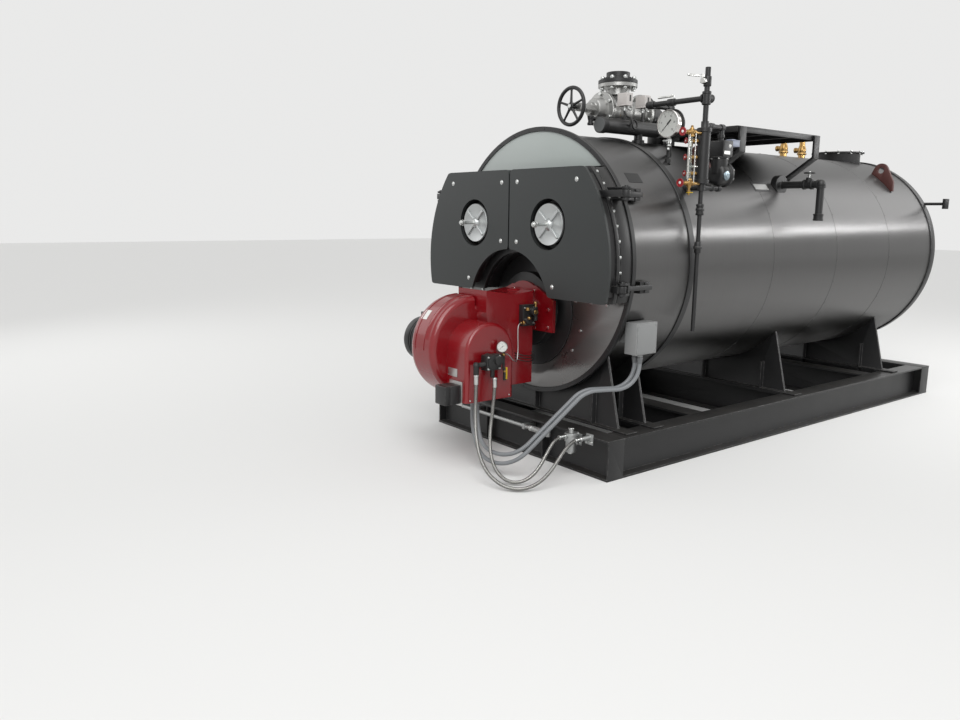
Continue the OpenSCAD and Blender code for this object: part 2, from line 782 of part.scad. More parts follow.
// Service platform: a tread plate in an angle rim.
notch_x = steam_pipe_r + 20;
notch_y = 1345;
deck_end = deck_y + deck_len;
deck_top = deck_z + 40;
module platform_deck() {
    skin = deck_top - 6;
    color(black) boiler() difference() {
        union() {
            block([0, deck_y, skin], [deck_w, deck_end, deck_top]);
            for (x = [0, deck_w - 6]) block([x, deck_y, deck_z], [x + 6, deck_end, skin]);
            for (y = [deck_y, deck_end - 6]) block([6, y, deck_z], [deck_w - 6, y + 6, skin]);
            for (y = [deck_y + deck_len * 0.4, deck_y + deck_len * 0.7]) {
                block([6, y - 20, deck_z + 8], [deck_w - 6, y + 20, skin]);
            }
        }
        block([-1, deck_y - 1, deck_z - 1], [notch_x, notch_y, deck_top + 1]);
    }
    color(black) boiler() {
        block([notch_x, deck_y + 6, deck_z], [notch_x + 6, notch_y + 6, skin]);
        block([6, notch_y, deck_z], [notch_x, notch_y + 6, skin]);
    }
}
// Bent bars that carry the platform's outer edge, and the legs under its inner edge.
module platform_arms() {
    arm_t = 18;
    arm_w = 70;
    color(black) boiler() {
        for (y = [deck_y + 10, deck_end - 10 - arm_w]) difference() {
            along_y(y, y + arm_w) polygon([
                [560, 582], [deck_w + arm_t, 758], [deck_w + arm_t, deck_top - 4],
                [deck_w + seat, deck_top - 4], [deck_w + seat, 770], [560, 606]
            ]);
            rod_y(jacket_r + seat, 0, 4000, $fn = 128);
        }
        for (y = [deck_y + 60, deck_end - 120]) difference() {
            block([120, y, 800], [180, y + 60, deck_top - 6]);
            rod_y(jacket_r + seat, 0, 4000, $fn = 128);
        }
    }
}
// Two spring safety valves on short nozzles.
module safety_valves() {
    color(brass) boiler() for (y = [2950, 3250]) translate([0, y, 0]) {
        difference() {
            rod_z(30, 830, 885);
            translate([0, -y, 0]) rod_y(jacket_r + seat, 0, 4000, $fn = 128);
        }
        rod_z(42, 885, 905);
        rod_z(34, 905, 960);
        translate([0, 0, 930]) rod_x(24, -70, 0);
        rod_z(25, 960, 1010);
        rod_z(12, 1010, 1030);
    }
}
// Steam outlet: nozzle, bend and the flange that faces the main valve.
module steam_elbow() {
    bend = 152;
    up_y = 1240;
    face_y = valve_y + 250;
    color("#3b3d3f") boiler() difference() {
        union() {
            translate([0, up_y, 0]) rod_z(steam_pipe_r, 800, valve_z - bend);
            translate([0, up_y, valve_z - bend]) bend_up_to_front(steam_pipe_r, bend);
            translate([0, 0, valve_z]) rod_y(steam_pipe_r, face_y + 24, up_y - bend);
            translate([0, 0, valve_z]) rod_y(steam_flange_r, face_y, face_y + 24);
            for (a = [22.5:45:337.5]) translate([0, 0, valve_z]) rotate([0, a, 0]) {
                translate([120, 0, 0]) rod_y(15, face_y + 24, face_y + 42, $fn = 6);
            }
        }
        rod_y(jacket_r + seat, 900, 1500, $fn = 128);
    }
}
// Angle valve: body with two flanges, bonnet and yoke.
module main_valve() {
    face_y = valve_y + 250 - seat;
    top = valve_z + 190;
    color("#9a9c9a") boiler() translate([0, 0, valve_z]) {
        translate([0, valve_y, 0]) sphere(r = 128, $fn = 40);
        rod_y(steam_pipe_r, valve_y, face_y - 26);
        rod_y(steam_flange_r, face_y - 26, face_y);
        translate([0, valve_y, 0]) rod_z(steam_pipe_r, 0, top - valve_z - 26);
        difference() {
            translate([0, valve_y, 0]) rod_z(steam_flange_r, top - valve_z - 26, top - valve_z);
            translate([0, valve_y, 0]) rod_z(steam_bore_r - 5, top - valve_z - 20, top - valve_z + 5);
        }
        rod_y(105, valve_y - 155, valve_y - 60);
        rod_y(125, valve_y - 172, valve_y - 140);
        rod_y(78, valve_y - 250, valve_y - 172);
        rod_y(42, valve_y - 290, valve_y - 250);
        for (x = [-50, 32]) block([x, valve_y - 400, -20], [x + 18, valve_y - 240, 20]);
        block([-50, yoke_y, -24], [50, yoke_y + 20, 24]);
        for (a = [30:60:330]) rotate([0, a, 0]) translate([108, 0, 0]) {
            rod_y(11, valve_y - 190, valve_y - 130, $fn = 6);
        }
    }
}
// Black companion flange with its studs, ready for the steam pipe.
module steam_companion() {
    z0 = valve_z + 190 + seat;
    color(black) boiler() translate([0, valve_y, 0]) difference() {
        union() {
            rod_z(steam_flange_r, z0, z0 + 26);
            rod_z(100, z0 + 26, z0 + 45);
            rod_z(steam_pipe_r, z0 + 45, z0 + 80);
            for (a = [22.5:45:337.5]) rotate([0, 0, a]) translate([120, 0, 0]) {
                rod_z(16, z0 + 26, z0 + 46, $fn = 6);
            }
        }
        rod_z(steam_bore_r, z0 - 5, z0 + 90);
    }
}
// Handwheel of the main valve: a round rim, five spokes and a hub on the stem.
yoke_y = valve_y - 415;
wheel_y = yoke_y - 44;
module valve_wheel() {
    color(black) boiler() translate([0, wheel_y, valve_z]) rotate([90, 0, 0]) {
        rotate_extrude() translate([wheel_r - 13, 0]) circle(r = 13, $fn = 24);
        for (a = [90:72:378]) rotate([0, 0, a]) rod_x(9, 20, wheel_r - 10, $fn = 16);
        cylinder(r = 26, h = 44, center = true);
        translate([0, 0, wheel_y - yoke_y + seat]) cylinder(r = 15, h = 30);
    }
}
// Control header with its flat front cap, nipple and side pipe.
module control_header() {
    y0 = 390;
    y1 = 985;
    nipple_y = 790;
    color(black) boiler() difference() {
        union() {
            translate([header_x, 0, header_z]) rod_y(header_r, y0, y1);
            translate([header_x, 0, header_z]) rod_y(header_r + 5, y0, y0 + 45);
            translate([header_x, nipple_y, 0]) rod_z(30, 700, header_z);
            translate([header_x, nipple_y, 0]) rod_z(44, 700, 850);
            translate([120, 0, 975]) rod_y(15, 360, 640);
            translate([120, 625, 975]) rod_x(15, 0, 40);
            translate([120, 376, 0]) rod_z(22, 930, 994);
        }
        rod_y(jacket_r + seat, 600, 1500, $fn = 128);
    }
}
// Two pressure controls on pigtails above the header.
module pressure_controls() {
    box_z = 1072;
    color("#c9c9c4") boiler() for (y = [637, 825]) translate([header_x, y, 0]) {
        block([-45, -32, box_z], [45, 32, box_z + 85]);
        rod_z(9, header_z + header_r, box_z);
        rod_z(16, box_z - 22, box_z);
    }
}
// Steam pressure gauge on a siphon pipe from the shell.
module steam_gauge() {
    gauge_x = 520;
    gauge_y = 725;
    gauge_z = 933;
    color(black) boiler() difference() {
        union() {
            translate([gauge_x, gauge_y, gauge_z]) {
                rod_y(92, -25, 25);
                rod_y(100, 25, 33);
                rod_y(84, 33, 62);
            }
            translate([gauge_x, gauge_y, 0]) rod_z(11, 620, gauge_z - 80);
            translate([gauge_x, gauge_y, 0]) rod_z(20, 620, 705);
            translate([gauge_x, gauge_y, 0]) rod_z(17, 800, 835);
        }
        rod_y(jacket_r + seat, 600, 1500, $fn = 128);
    }
}
// Water column: capped cylinder between its upper and lower tees.
module water_column() {
    color(black) boiler() translate([column_x, column_y, 0]) {
        rod_z(column_r, column_z, column_top);
        for (z = [column_z, column_top - 26]) rod_z(column_r + 6, z, z + 26);
        rod_z(24, column_z - 45, column_z);
        rod_z(24, column_top, column_top + 40);
        translate([0, 0, column_top + 12]) rod_y(20, 0, upper_tee);
        translate([0, 0, lower_tee_z]) rod_y(22, 0, 40);
        for (z = [column_top - 35, column_z]) translate([0, 0, z]) rod_y(12, -column_r - 45, -column_r + 5);
    }
}
// Gauge glass between its two cocks, with guard rods, handwheels and try cocks.
try_cocks = [590, 690, 790];
module gauge_glass() {
    gy = column_y - glass_reach;
    color(brass) boiler() translate([column_x, gy, 0]) {
        for (z = [column_top - 35, column_z]) translate([0, 0, z]) {
            rod_y(15, -50, glass_reach - column_r - 45);
            rod_y(6, -85, -50);
            rod_y(27, -95, -85);
            rod_z(17, -28, 28);
        }
        rod_z(8, column_z + 28, column_top - 63);
        for (a = [45, 165, 285]) rotate([0, 0, a]) translate([26, 0, 0]) {
            rod_z(3.5, column_z, column_top - 35, $fn = 16);
        }
        for (z = [column_z, column_top - 35]) rod_z(30, z - 5, z + 5);
    }
    color(brass) boiler() for (z = try_cocks) translate([column_x, column_y, z]) rotate([0, 0, -120]) {
        difference() {
            rod_x(10, column_r - 6, column_r + 75, $fn = 24);
            rod_z(column_r + seat, -20, 20);
        }
        rod_x(20, column_r + 75, column_r + 84, $fn = 24);
    }
}
// Pipes of the water column: riser and cross over, lower connection and drain.
module column_pipes() {
    z_cross = 1050;
    drop_x = 440;
    drop_y = 830;
    color(black) boiler() {
        translate([column_x, column_y, 0]) {
            rod_z(pipe_r, column_top + 40, 1235);
            rod_z(28, z_cross - 40, z_cross + 40);
            translate([0, 0, z_cross]) rod_y(26, 0, 60);
            rod_z(24, 1120, 1180);
            translate([0, 0, 1150]) rod_y(16, -60, 0);
            rod_z(14, -420, column_z - 45);
            rod_z(22, 90, 160);
            rod_z(26, 330, 400);
        }
        translate([0, column_y, z_cross]) rod_x(pipe_r, drop_x, column_x);
        translate([drop_x, 0, z_cross]) rod_y(pipe_r, column_y, drop_y);
        for (y = [column_y, drop_y]) translate([drop_x, y, z_cross]) sphere(r = 25, $fn = 24);
        difference() {
            translate([drop_x, drop_y, 0]) rod_z(pipe_r, 700, z_cross);
            rod_y(jacket_r + seat, 700, 900, $fn = 128);
        }
        difference() {
            union() {
                translate([column_x, 0, lower_tee_z]) rod_y(pipe_r, column_y + 40, column_y + tee_back);
                translate([column_x, column_y + tee_back, lower_tee_z]) sphere(r = 24, $fn = 24);
                translate([0, column_y + tee_back, lower_tee_z]) rod_x(pipe_r, 600, column_x);
            }
            rod_y(jacket_r + seat, 600, 900, $fn = 128);
        }
    }
}
// Float-type low water control beside the column, with its switch housing.
module low_water_control() {
    color(black) boiler() translate([column_x, column_y + control_back, 0]) {
        translate([0, 0, 590]) rod_y(70, -45, 40);
        translate([0, 0, 590]) rod_y(80, 40, 56);
        rod_z(52, 590, 720);
        block([-55, -40, 700], [55, 60, 800]);
        rod_z(pipe_r, lower_tee_z, 590);
        rod_z(pipe_r, 800, column_top + 12);
        translate([0, 0, column_top + 12]) rod_y(pipe_r, upper_tee - control_back, 0);
        translate([0, 0, lower_tee_z]) rod_y(pipe_r, tee_back + 24 - control_back, 0);
        block([-40, 60, 770], [40, 150, 812]);
    }
}
// Feed-water connection: shell flange, pipe, stop valve and down-turned elbow.
module feed_pipe() {
    y = 1854;
    z = 560;
    reach = 1000;
    color(black) boiler() translate([0, y, 0]) difference() {
        union() {
            translate([0, 0, z]) rod_x(75, 600, 690);
            translate([0, 0, z]) rod_x(26, 690, reach);
            translate([0, 0, z]) rod_x(38, 860, 950);
            translate([905, 0, 0]) rod_z(28, z, z + 40);
            translate([905, 0, 0]) rod_z(7, z + 40, z + 85);
            translate([905, 0, 0]) rod_z(40, z + 78, z + 88);
            translate([reach, 0, z]) sphere(r = 34, $fn = 24);
            translate([reach, 0, 0]) rod_z(26, 300, z);
            translate([reach, 0, 0]) rod_z(36, 300, 350);
        }
        rod_y(jacket_r + seat, -200, 200, $fn = 128);
        translate([reach, 0, 0]) rod_z(20, 290, 345);
    }
}

// Outline of one door leaf, on the +X side.
module leaf_outline(r, arch, inset, top, bottom) {
    difference() {
        intersection() {
            circle(r = r - inset, $fn = 128);
            translate([leaf_gap / 2 + inset, -bottom + inset]) {
                square([ring_r + 50, top + bottom - 2 * inset]);
            }
        }
        translate([0, -arch_drop]) circle(r = arch + inset, $fn = 96);
    }
}
// Black door plate with its lining box, the port's neck and the hinge bars.
module door_plate() {
    difference() {
        union() {
            along_y(plate_y, plate_y + plate_t) {
                leaf_outline(plate_r, arch_r - 22, 0, door_top + 4, door_drop + 4);
            }
            along_y(plate_y - lining_d, plate_y) {
                leaf_outline(panel_r, arch_r, lining_inset, door_top, door_drop);
            }
            for (z = hinge_heights) {
                bar_x = sqrt(pow(panel_r - lining_inset, 2) - z * z) - 30;
                block([bar_x, plate_y - 25, z - leaf_h], [hinge_x, plate_y, z + leaf_h]);
                translate([hinge_x, hinge_y, 0]) rod_z(knuckle_r, z - leaf_h, z + leaf_h);
            }
        }
        translate([port_x, 0, port_z]) rod_y(port_r, plate_y - lining_d - 1, plate_y);
        for (z = hinge_heights) {
            translate([hinge_x, hinge_y, 0]) rod_z(pin_r + pin_clear, z - leaf_h - 1, z + leaf_h + 1);
        }
    }
    translate([port_x, 0, port_z]) rod_y(neck_r, cover_y, plate_y);
}
// Charcoal panel on the front of a door.
module door_panel() {
    along_y(panel_y, panel_y + panel_t) difference() {
        offset(r = panel_round) offset(delta = -panel_round) {
            leaf_outline(panel_r, arch_r, 0, door_top, door_drop);
        }
        translate([port_x, port_z]) circle(r = port_r, $fn = 96);
    }
    for (b = bolt_spots) translate([b[0], 0, b[1]]) rod_y(11, panel_y - 7, panel_y, $fn = 20);
}
// Cast port cover: a dished disc with a raised rim, crossed ribs, hub, stud and nut.
module port_cover() {
    rib_h = 11;
    translate([port_x, cover_y, port_z]) {
        rotate([90, 0, 0]) rotate_extrude($fn = 128) polygon([
            [0, 0], [cover_r, 0], [cover_r, 12], [cover_r - 5, 15], [cover_r - 12, 15],
            [cover_r - 16, 10], [0, 10]
        ]);
        for (a = [45, 135]) rotate([0, a, 0]) {
            block([-cover_r + 14, -10 - rib_h, -8], [cover_r - 14, -9, 8]);
        }
        rotate([90, 0, 0]) rotate_extrude() polygon([[0, 9], [38, 9], [30, 28], [22, 34], [0, 34]]);
        rod_y(11, -stud_len, -30, $fn = 24);
        rod_y(19, -stud_len + 8, -stud_len + 26, $fn = 6);
    }
}
module left_door_plate() {
    color(black) boiler() mirror([1, 0, 0]) door_plate();
}
module left_door_panel() {
    color(charcoal) boiler() mirror([1, 0, 0]) door_panel();
}
module left_port_cover() {
    color("#b4b8b8") boiler() mirror([1, 0, 0]) port_cover();
}
module right_door_plate() {
    color(black) boiler() door_plate();
}
module right_door_panel() {
    color(charcoal) boiler() door_panel();
}
module right_port_cover() {
    color("#b4b8b8") boiler() port_cover();
}
// Fixed hinge brackets on the frame: two lugs and a pin at each height,
// and a strap back to a foot on the jacket.
module hinge_brackets() {
    lug = 14;
    lug_gap = 5;
    strap_h = 15;
    strap_t = 12;
    strap_start = -62;
    strap_end = 160;
    foot = [62, 150];
    foot_h = 36;
    front_edge = frame_y + 8;
    back_edge = -40;
    for (z = hinge_heights) {
        reach = abs(z) + leaf_h + lug + lug_gap;
        x_in = sqrt(pow(plate_r, 2) - pow(reach, 2)) - 20;
        strap_x = sqrt(pow(ring_r, 2) - pow(abs(z) - strap_h, 2)) + 2;
        foot_in = sqrt(pow(front_jacket_r, 2) - pow(abs(z) + foot_h + 2, 2)) - 12;
        difference() {
            for (s = [-1, 1]) translate([0, 0, z + s * (leaf_h + lug_gap + lug / 2)]) {
                translate([0, 0, -lug / 2]) linear_extrude(lug) polygon([
                    [x_in, front_edge], [hinge_x - 40, front_edge], [hinge_x - 8, hinge_y],
                    [hinge_x + 14, hinge_y], [hinge_x + 6, -75], [hinge_x - 50, back_edge], [x_in, back_edge]
                ]);
            }
            rod_y(plate_r + seat, -200, 10, $fn = 128);
        }
        for (s = [-1, 1]) translate([hinge_x, hinge_y, z + s * (leaf_h + lug_gap + lug / 2)]) {
            rod_z(knuckle_r, -lug / 2, lug / 2);
        }
        difference() {
            block(
                [x_in, strap_start, z - leaf_h - lug_gap],
                [strap_x + strap_t, back_edge - 2, z + leaf_h + lug_gap]
            );
            rod_y(plate_r + seat, -200, 10, $fn = 128);
        }
        block([strap_x, strap_start, z - strap_h], [strap_x + strap_t, strap_end, z + strap_h]);
        difference() {
            block([foot_in, foot[0], z - foot_h], [strap_x + 1, foot[1], z + foot_h]);
            rod_y(front_jacket_r + seat, 0, 300, $fn = 128);
        }
        for (s = [-1, 1]) translate([strap_x - 1, (foot[0] + foot[1]) / 2, z + s * 26]) {
            rod_x(9, 0, 8, $fn = 6);
        }
        translate([hinge_x, hinge_y, 0]) rod_z(pin_r, z - reach + abs(z) - 8, z + reach - abs(z) + 8);
    }
}
module left_hinges() {
    color(black) boiler() mirror([1, 0, 0]) hinge_brackets();
}
module right_hinges() {
    color(black) boiler() hinge_brackets();
}

front_jacket();
girth_band();
main_jacket();
rear_ring();
rear_door();
front_ring();
crest_panel();
door_frame();
smokebox_floor();
tube_sheet();
front_plate();
burner_plate();
burner_flange();
burner_housing();
burner_air_box();
burner_motor();
fuel_pump();
nozzle_block();
air_actuator();
supply_hose();
return_hose();
left_conduit();
right_conduit();
fuel_filter();
hose_union();
junction_box();
left_rail();
right_rail();
front_beam();
rear_beam();
cross_beams();
saddles();
front_pipe();
stack_collar();
lifting_lugs();
platform_deck();
platform_arms();
safety_valves();
steam_elbow();
main_valve();
steam_companion();
valve_wheel();
control_header();
pressure_controls();
steam_gauge();
water_column();
gauge_glass();
column_pipes();
low_water_control();
feed_pipe();
left_door_plate();
left_door_panel();
left_port_cover();
right_door_plate();
right_door_panel();
right_port_cover();
left_hinges();
right_hinges();
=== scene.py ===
import math

import bmesh
import bpy
from mathutils import Matrix, Vector


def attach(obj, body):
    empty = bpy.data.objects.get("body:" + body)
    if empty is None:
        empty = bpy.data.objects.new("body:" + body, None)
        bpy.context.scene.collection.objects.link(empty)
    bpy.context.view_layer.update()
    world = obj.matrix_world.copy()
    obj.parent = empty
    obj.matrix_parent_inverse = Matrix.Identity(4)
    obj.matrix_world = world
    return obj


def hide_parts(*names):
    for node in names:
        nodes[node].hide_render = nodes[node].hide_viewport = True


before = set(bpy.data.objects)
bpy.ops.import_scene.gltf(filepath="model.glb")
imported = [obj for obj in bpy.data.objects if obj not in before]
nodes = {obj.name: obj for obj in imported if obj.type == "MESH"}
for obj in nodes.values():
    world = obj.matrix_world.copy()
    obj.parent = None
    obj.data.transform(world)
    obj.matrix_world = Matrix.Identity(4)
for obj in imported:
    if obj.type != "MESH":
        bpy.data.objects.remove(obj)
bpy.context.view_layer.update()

scene = bpy.context.scene
scene.view_settings.view_transform = "Standard"


# The boiler is set out from the middle of its front ring's face: x to the side with the water column,
# y to the rear and z up, in millimetres. Shell axis and ring face stand where the frame has them.
ring_face, shell_axis = -2.030, 1.305


def at(x, y, z):
    """A point of the boiler in metres, from its place in millimetres off the front ring's middle."""
    return Vector((x / 1000, y / 1000 + ring_face, z / 1000 + shell_axis))


# The camera stands at eye height, to the right of the burner. Its place and lens are solved from the ring, the
# doors and the skid of the photograph.
look, across, up = (-0.7746, 0.6062, -0.1805), (0.6147, 0.7887, 0.0109), (-0.1490, 0.1026, 0.9835)
camera = bpy.data.objects.new("camera", bpy.data.cameras.new("camera"))
camera.data.lens = 29.87
camera.data.sensor_width = 36
camera.data.clip_end = 200
turn = Matrix((across, up, [-c for c in look])).transposed()
camera.matrix_world = Matrix.Translation(at(4127, -3699, 324)) @ turn.to_4x4()
scene.collection.objects.link(camera)
scene.camera = camera


# Oil hoses and wiring conduits of the burner. The hoses are rubber in a braid of bright steel wire, crimped
# into swivel nuts; the conduits are grey plastic over a steel spiral. All four hang in loops.
def finish(name, colour, metallic, rough):
    """A new material with its nodes, its links and its shader, whose plain values are set."""
    material = bpy.data.materials.new(name)
    material.use_nodes = True
    shader = material.node_tree.nodes["Principled BSDF"]
    shader.inputs["Base Color"].default_value = (*colour, 1)
    shader.inputs["Metallic"].default_value = metallic
    shader.inputs["Roughness"].default_value = rough
    material.diffuse_color = (*colour, 1)
    return material, material.node_tree.nodes, material.node_tree.links, shader


def piece(name, shape, material, body="boiler", stands_for=(), sharp=35):
    """Closes a bmesh into an object that is finished, rides on its body and stands for its CAD nodes."""
    mesh = bpy.data.meshes.new(name)
    shape.to_mesh(mesh)
    shape.free()
    mesh.shade_smooth()
    mesh.set_sharp_from_angle(angle=math.radians(sharp))
    mesh.materials.append(material)
    obj = bpy.data.objects.new(name, mesh)
    scene.collection.objects.link(obj)
    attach(obj, body)
    if stands_for:
        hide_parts(*stands_for)
    return obj


def smooth_line(points, per_step=8):
    """A Catmull-Rom line through the points of a route."""
    line = []
    for i in range(len(points) - 1):
        a, b = points[max(i - 1, 0)], points[i]
        c, d = points[i + 1], points[min(i + 2, len(points) - 1)]
        for k in range(per_step):
            t = k / per_step
            bend = (2 * a - 5 * b + 4 * c - d) * t**2 + (3 * b - a - 3 * c + d) * t**3
            line.append(0.5 * (2 * b + (c - a) * t + bend))
    return line + [points[-1]]


def sweep(shape, line, radius, sides=16, side=(0.7, -0.7, 0.1)):
    """Adds a closed tube along a line: UVs run in turns round it and in metres along it."""
    uv = shape.loops.layers.uv.get("UVMap") or shape.loops.layers.uv.new("UVMap")
    rings, run = [], [0.0]
    for i, point in enumerate(line):
        ahead = (line[min(i + 1, len(line) - 1)] - line[max(i - 1, 0)]).normalized()
        u = ahead.cross(Vector(side)).normalized()
        v = ahead.cross(u)
        ring = bmesh.ops.create_circle(shape, segments=sides, radius=radius / 1000)["verts"]
        place = Matrix((v, u, -ahead)).transposed().to_4x4()
        place.translation = point
        bmesh.ops.transform(shape, matrix=place, verts=ring)
        rings.append(ring)
        if i:
            run.append(run[-1] + (point - line[i - 1]).length)
    for i in range(len(rings) - 1):
        for k in range(sides):
            j = (k + 1) % sides
            face = shape.faces.new((rings[i][k], rings[i + 1][k], rings[i + 1][j], rings[i][j]))
            for loop, (a, b) in zip(face.loops, ((k, i), (k, i + 1), (k + 1, i + 1), (k + 1, i))):
                loop[uv].uv = (a / sides, run[b])
    shape.faces.new(rings[0])
    shape.faces.new(rings[-1][::-1])
    return run[-1]


def braid_finish():
    """Bright wire braid: two sets of strands that cross along the hose's own length."""
    material, n, links, shader = finish("steel_braid", (0.5, 0.5, 0.48), 0.85, 0.36)
    uv, parts = n.new("ShaderNodeUVMap"), n.new("ShaderNodeSeparateXYZ")
    uv.uv_map = "UVMap"
    links.new(uv.outputs[0], parts.inputs[0])
    strands = []
    for lean in (90.0, -90.0):
        along, around, strand = (n.new("ShaderNodeMath") for _ in range(3))
        along.operation, around.operation, strand.operation = "MULTIPLY", "MULTIPLY_ADD", "PINGPONG"
        along.inputs[1].default_value = lean
        around.inputs[1].default_value = 8.0
        strand.inputs[1].default_value = 0.5
        links.new(parts.outputs["Y"], along.inputs[0])
        links.new(parts.outputs["X"], around.inputs[0])
        links.new(along.outputs[0], around.inputs[2])
        links.new(around.outputs[0], strand.inputs[0])
        strands.append(strand)
    weave, shade, bump = n.new("ShaderNodeMath"), n.new("ShaderNodeValToRGB"), n.new("ShaderNodeBump")
    weave.operation = "MULTIPLY"
    links.new(strands[0].outputs[0], weave.inputs[0])
    links.new(strands[1].outputs[0], weave.inputs[1])
    shade.color_ramp.elements[0].color = (0.012, 0.012, 0.012, 1)
    shade.color_ramp.elements[0].position = 0.035
    shade.color_ramp.elements[1].color = (0.62, 0.61, 0.58, 1)
    shade.color_ramp.elements[1].position = 0.13
    links.new(weave.outputs[0], shade.inputs[0])
    links.new(shade.outputs[0], shader.inputs["Base Color"])
    bump.inputs["Strength"].default_value = 0.8
    bump.inputs["Distance"].default_value = 0.0012
    links.new(weave.outputs[0], bump.inputs["Height"])
    links.new(bump.outputs[0], shader.inputs["Normal"])
    return material


def conduit_finish():
    """Grey plastic over a steel spiral, whose turns show as low ribs."""
    material, n, links, shader = finish("grey_conduit", (0.2, 0.21, 0.22), 0.0, 0.4)
    uv, ribs, bump = n.new("ShaderNodeUVMap"), n.new("ShaderNodeTexWave"), n.new("ShaderNodeBump")
    uv.uv_map = "UVMap"
    ribs.bands_direction = "Y"
    ribs.inputs["Scale"].default_value = 26.0
    bump.inputs["Strength"].default_value = 0.5
    bump.inputs["Distance"].default_value = 0.0015
    links.new(uv.outputs[0], ribs.inputs["Vector"])
    links.new(ribs.outputs["Fac"], bump.inputs["Height"])
    links.new(bump.outputs[0], shader.inputs["Normal"])
    return material


flexible_routes = {
    "supply_hose": [
        (320, -600, -690), (320, -600, -745), (320, -604, -801), (322, -611, -856), (327, -621, -910),
        (334, -634, -964), (346, -650, -1016), (364, -667, -1067), (387, -684, -1115), (417, -699, -1160),
        (452, -709, -1200), (492, -713, -1235), (533, -708, -1261), (574, -693, -1278), (610, -668, -1283),
        (638, -634, -1276), (656, -594, -1257), (666, -553, -1227), (667, -511, -1188), (663, -471, -1144),
        (656, -429, -1101), (649, -385, -1066), (645, -335, -1048), (645, -280, -1048),
    ],
    "return_hose": [
        (296, -730, -660), (296, -730, -723), (300, -734, -786), (309, -743, -848), (324, -754, -909),
        (344, -768, -968), (370, -782, -1025), (402, -796, -1079), (440, -808, -1129), (483, -815, -1174),
        (531, -815, -1214), (581, -806, -1245), (631, -787, -1269), (676, -757, -1282), (713, -718, -1286),
        (741, -671, -1278), (758, -620, -1260), (767, -568, -1231), (768, -515, -1193), (764, -464, -1150),
        (758, -413, -1107), (752, -360, -1072), (748, -303, -1050), (748, -240, -1050),
    ],
    "left_conduit": [
        (92, -600, -868), (92, -600, -934), (94, -601, -1000), (111, -607, -1063), (145, -618, -1118),
        (190, -633, -1164), (245, -640, -1200), (307, -637, -1222), (371, -625, -1228), (433, -604, -1220),
        (487, -574, -1197), (529, -539, -1160), (557, -501, -1114), (581, -463, -1066), (605, -425, -1018),
        (629, -387, -970), (653, -348, -921), (677, -310, -873), (701, -272, -825), (725, -231, -780),
        (751, -176, -754), (775, -115, -750), (799, -54, -750), (823, 8, -748), (845, 64, -725),
        (861, 106, -677), (868, 124, -614), (868, 124, -548),
    ],
    "right_conduit": [
        (145, -600, -868), (145, -600, -933), (152, -602, -998), (176, -611, -1057), (213, -624, -1102),
        (266, -634, -1139), (327, -630, -1161), (389, -612, -1168), (448, -585, -1160), (497, -550, -1136),
        (532, -511, -1098), (554, -470, -1052), (576, -430, -1006), (598, -389, -959), (619, -349, -913),
        (641, -308, -867), (663, -268, -821), (685, -225, -777), (710, -170, -753), (734, -110, -750),
        (759, -49, -750), (783, 11, -748), (805, 67, -723), (821, 107, -675), (828, 124, -613),
        (828, 124, -548),
    ],
}
braid, conduit_plastic = braid_finish(), conduit_finish()
for node, route in flexible_routes.items():
    hose = node.endswith("hose")
    thick = 22 if hose else 27
    line = smooth_line([at(*point) for point in route])
    shape = bmesh.new()
    length = sweep(shape, line, thick / 2)
    run = piece(node + "_run", shape, braid if hose else conduit_plastic,
                stands_for=[node])


# The skid: two long I-beams, an end beam at each end and three cross beams, cut from black-painted rolled
# steel and welded up. Four cradle plates on foot plates carry the shell.
def effect(name, inputs, outputs):
    """A node group for an effect that several finishes share."""
    group = bpy.data.node_groups.new(name, "ShaderNodeTree")
    for label, value in inputs:
        socket = group.interface.new_socket(label, in_out="INPUT", socket_type="NodeSocketFloat")
        socket.default_value = value
    for label, kind in outputs:
        group.interface.new_socket(label, in_out="OUTPUT", socket_type=kind)
    return group, group.nodes.new("NodeGroupInput"), group.nodes.new("NodeGroupOutput")


def wear_effect():
    """Mask of the edges that hands and tools have rubbed, read from the attribute that easing leaves."""
    group, given, out = effect("edge_wear", [("Amount", 0.5), ("Scale", 40.0)], [("Mask", "NodeSocketFloat")])
    n, links = group.nodes, group.links
    place, edge, blotch = n.new("ShaderNodeTexCoord"), n.new("ShaderNodeAttribute"), n.new("ShaderNodeTexNoise")
    cut, both, total = n.new("ShaderNodeMapRange"), n.new("ShaderNodeMath"), n.new("ShaderNodeMath")
    edge.attribute_name = "eased"
    blotch.inputs["Detail"].default_value = 4.0
    cut.inputs["From Min"].default_value = 0.45
    cut.inputs["From Max"].default_value = 0.62
    both.operation = total.operation = "MULTIPLY"
    links.new(place.outputs["Object"], blotch.inputs["Vector"])
    links.new(given.outputs["Scale"], blotch.inputs["Scale"])
    links.new(blotch.outputs["Fac"], cut.inputs["Value"])
    links.new(edge.outputs["Fac"], both.inputs[0])
    links.new(cut.outputs[0], both.inputs[1])
    links.new(both.outputs[0], total.inputs[0])
    links.new(given.outputs["Amount"], total.inputs[1])
    links.new(total.outputs[0], out.inputs["Mask"])
    return group


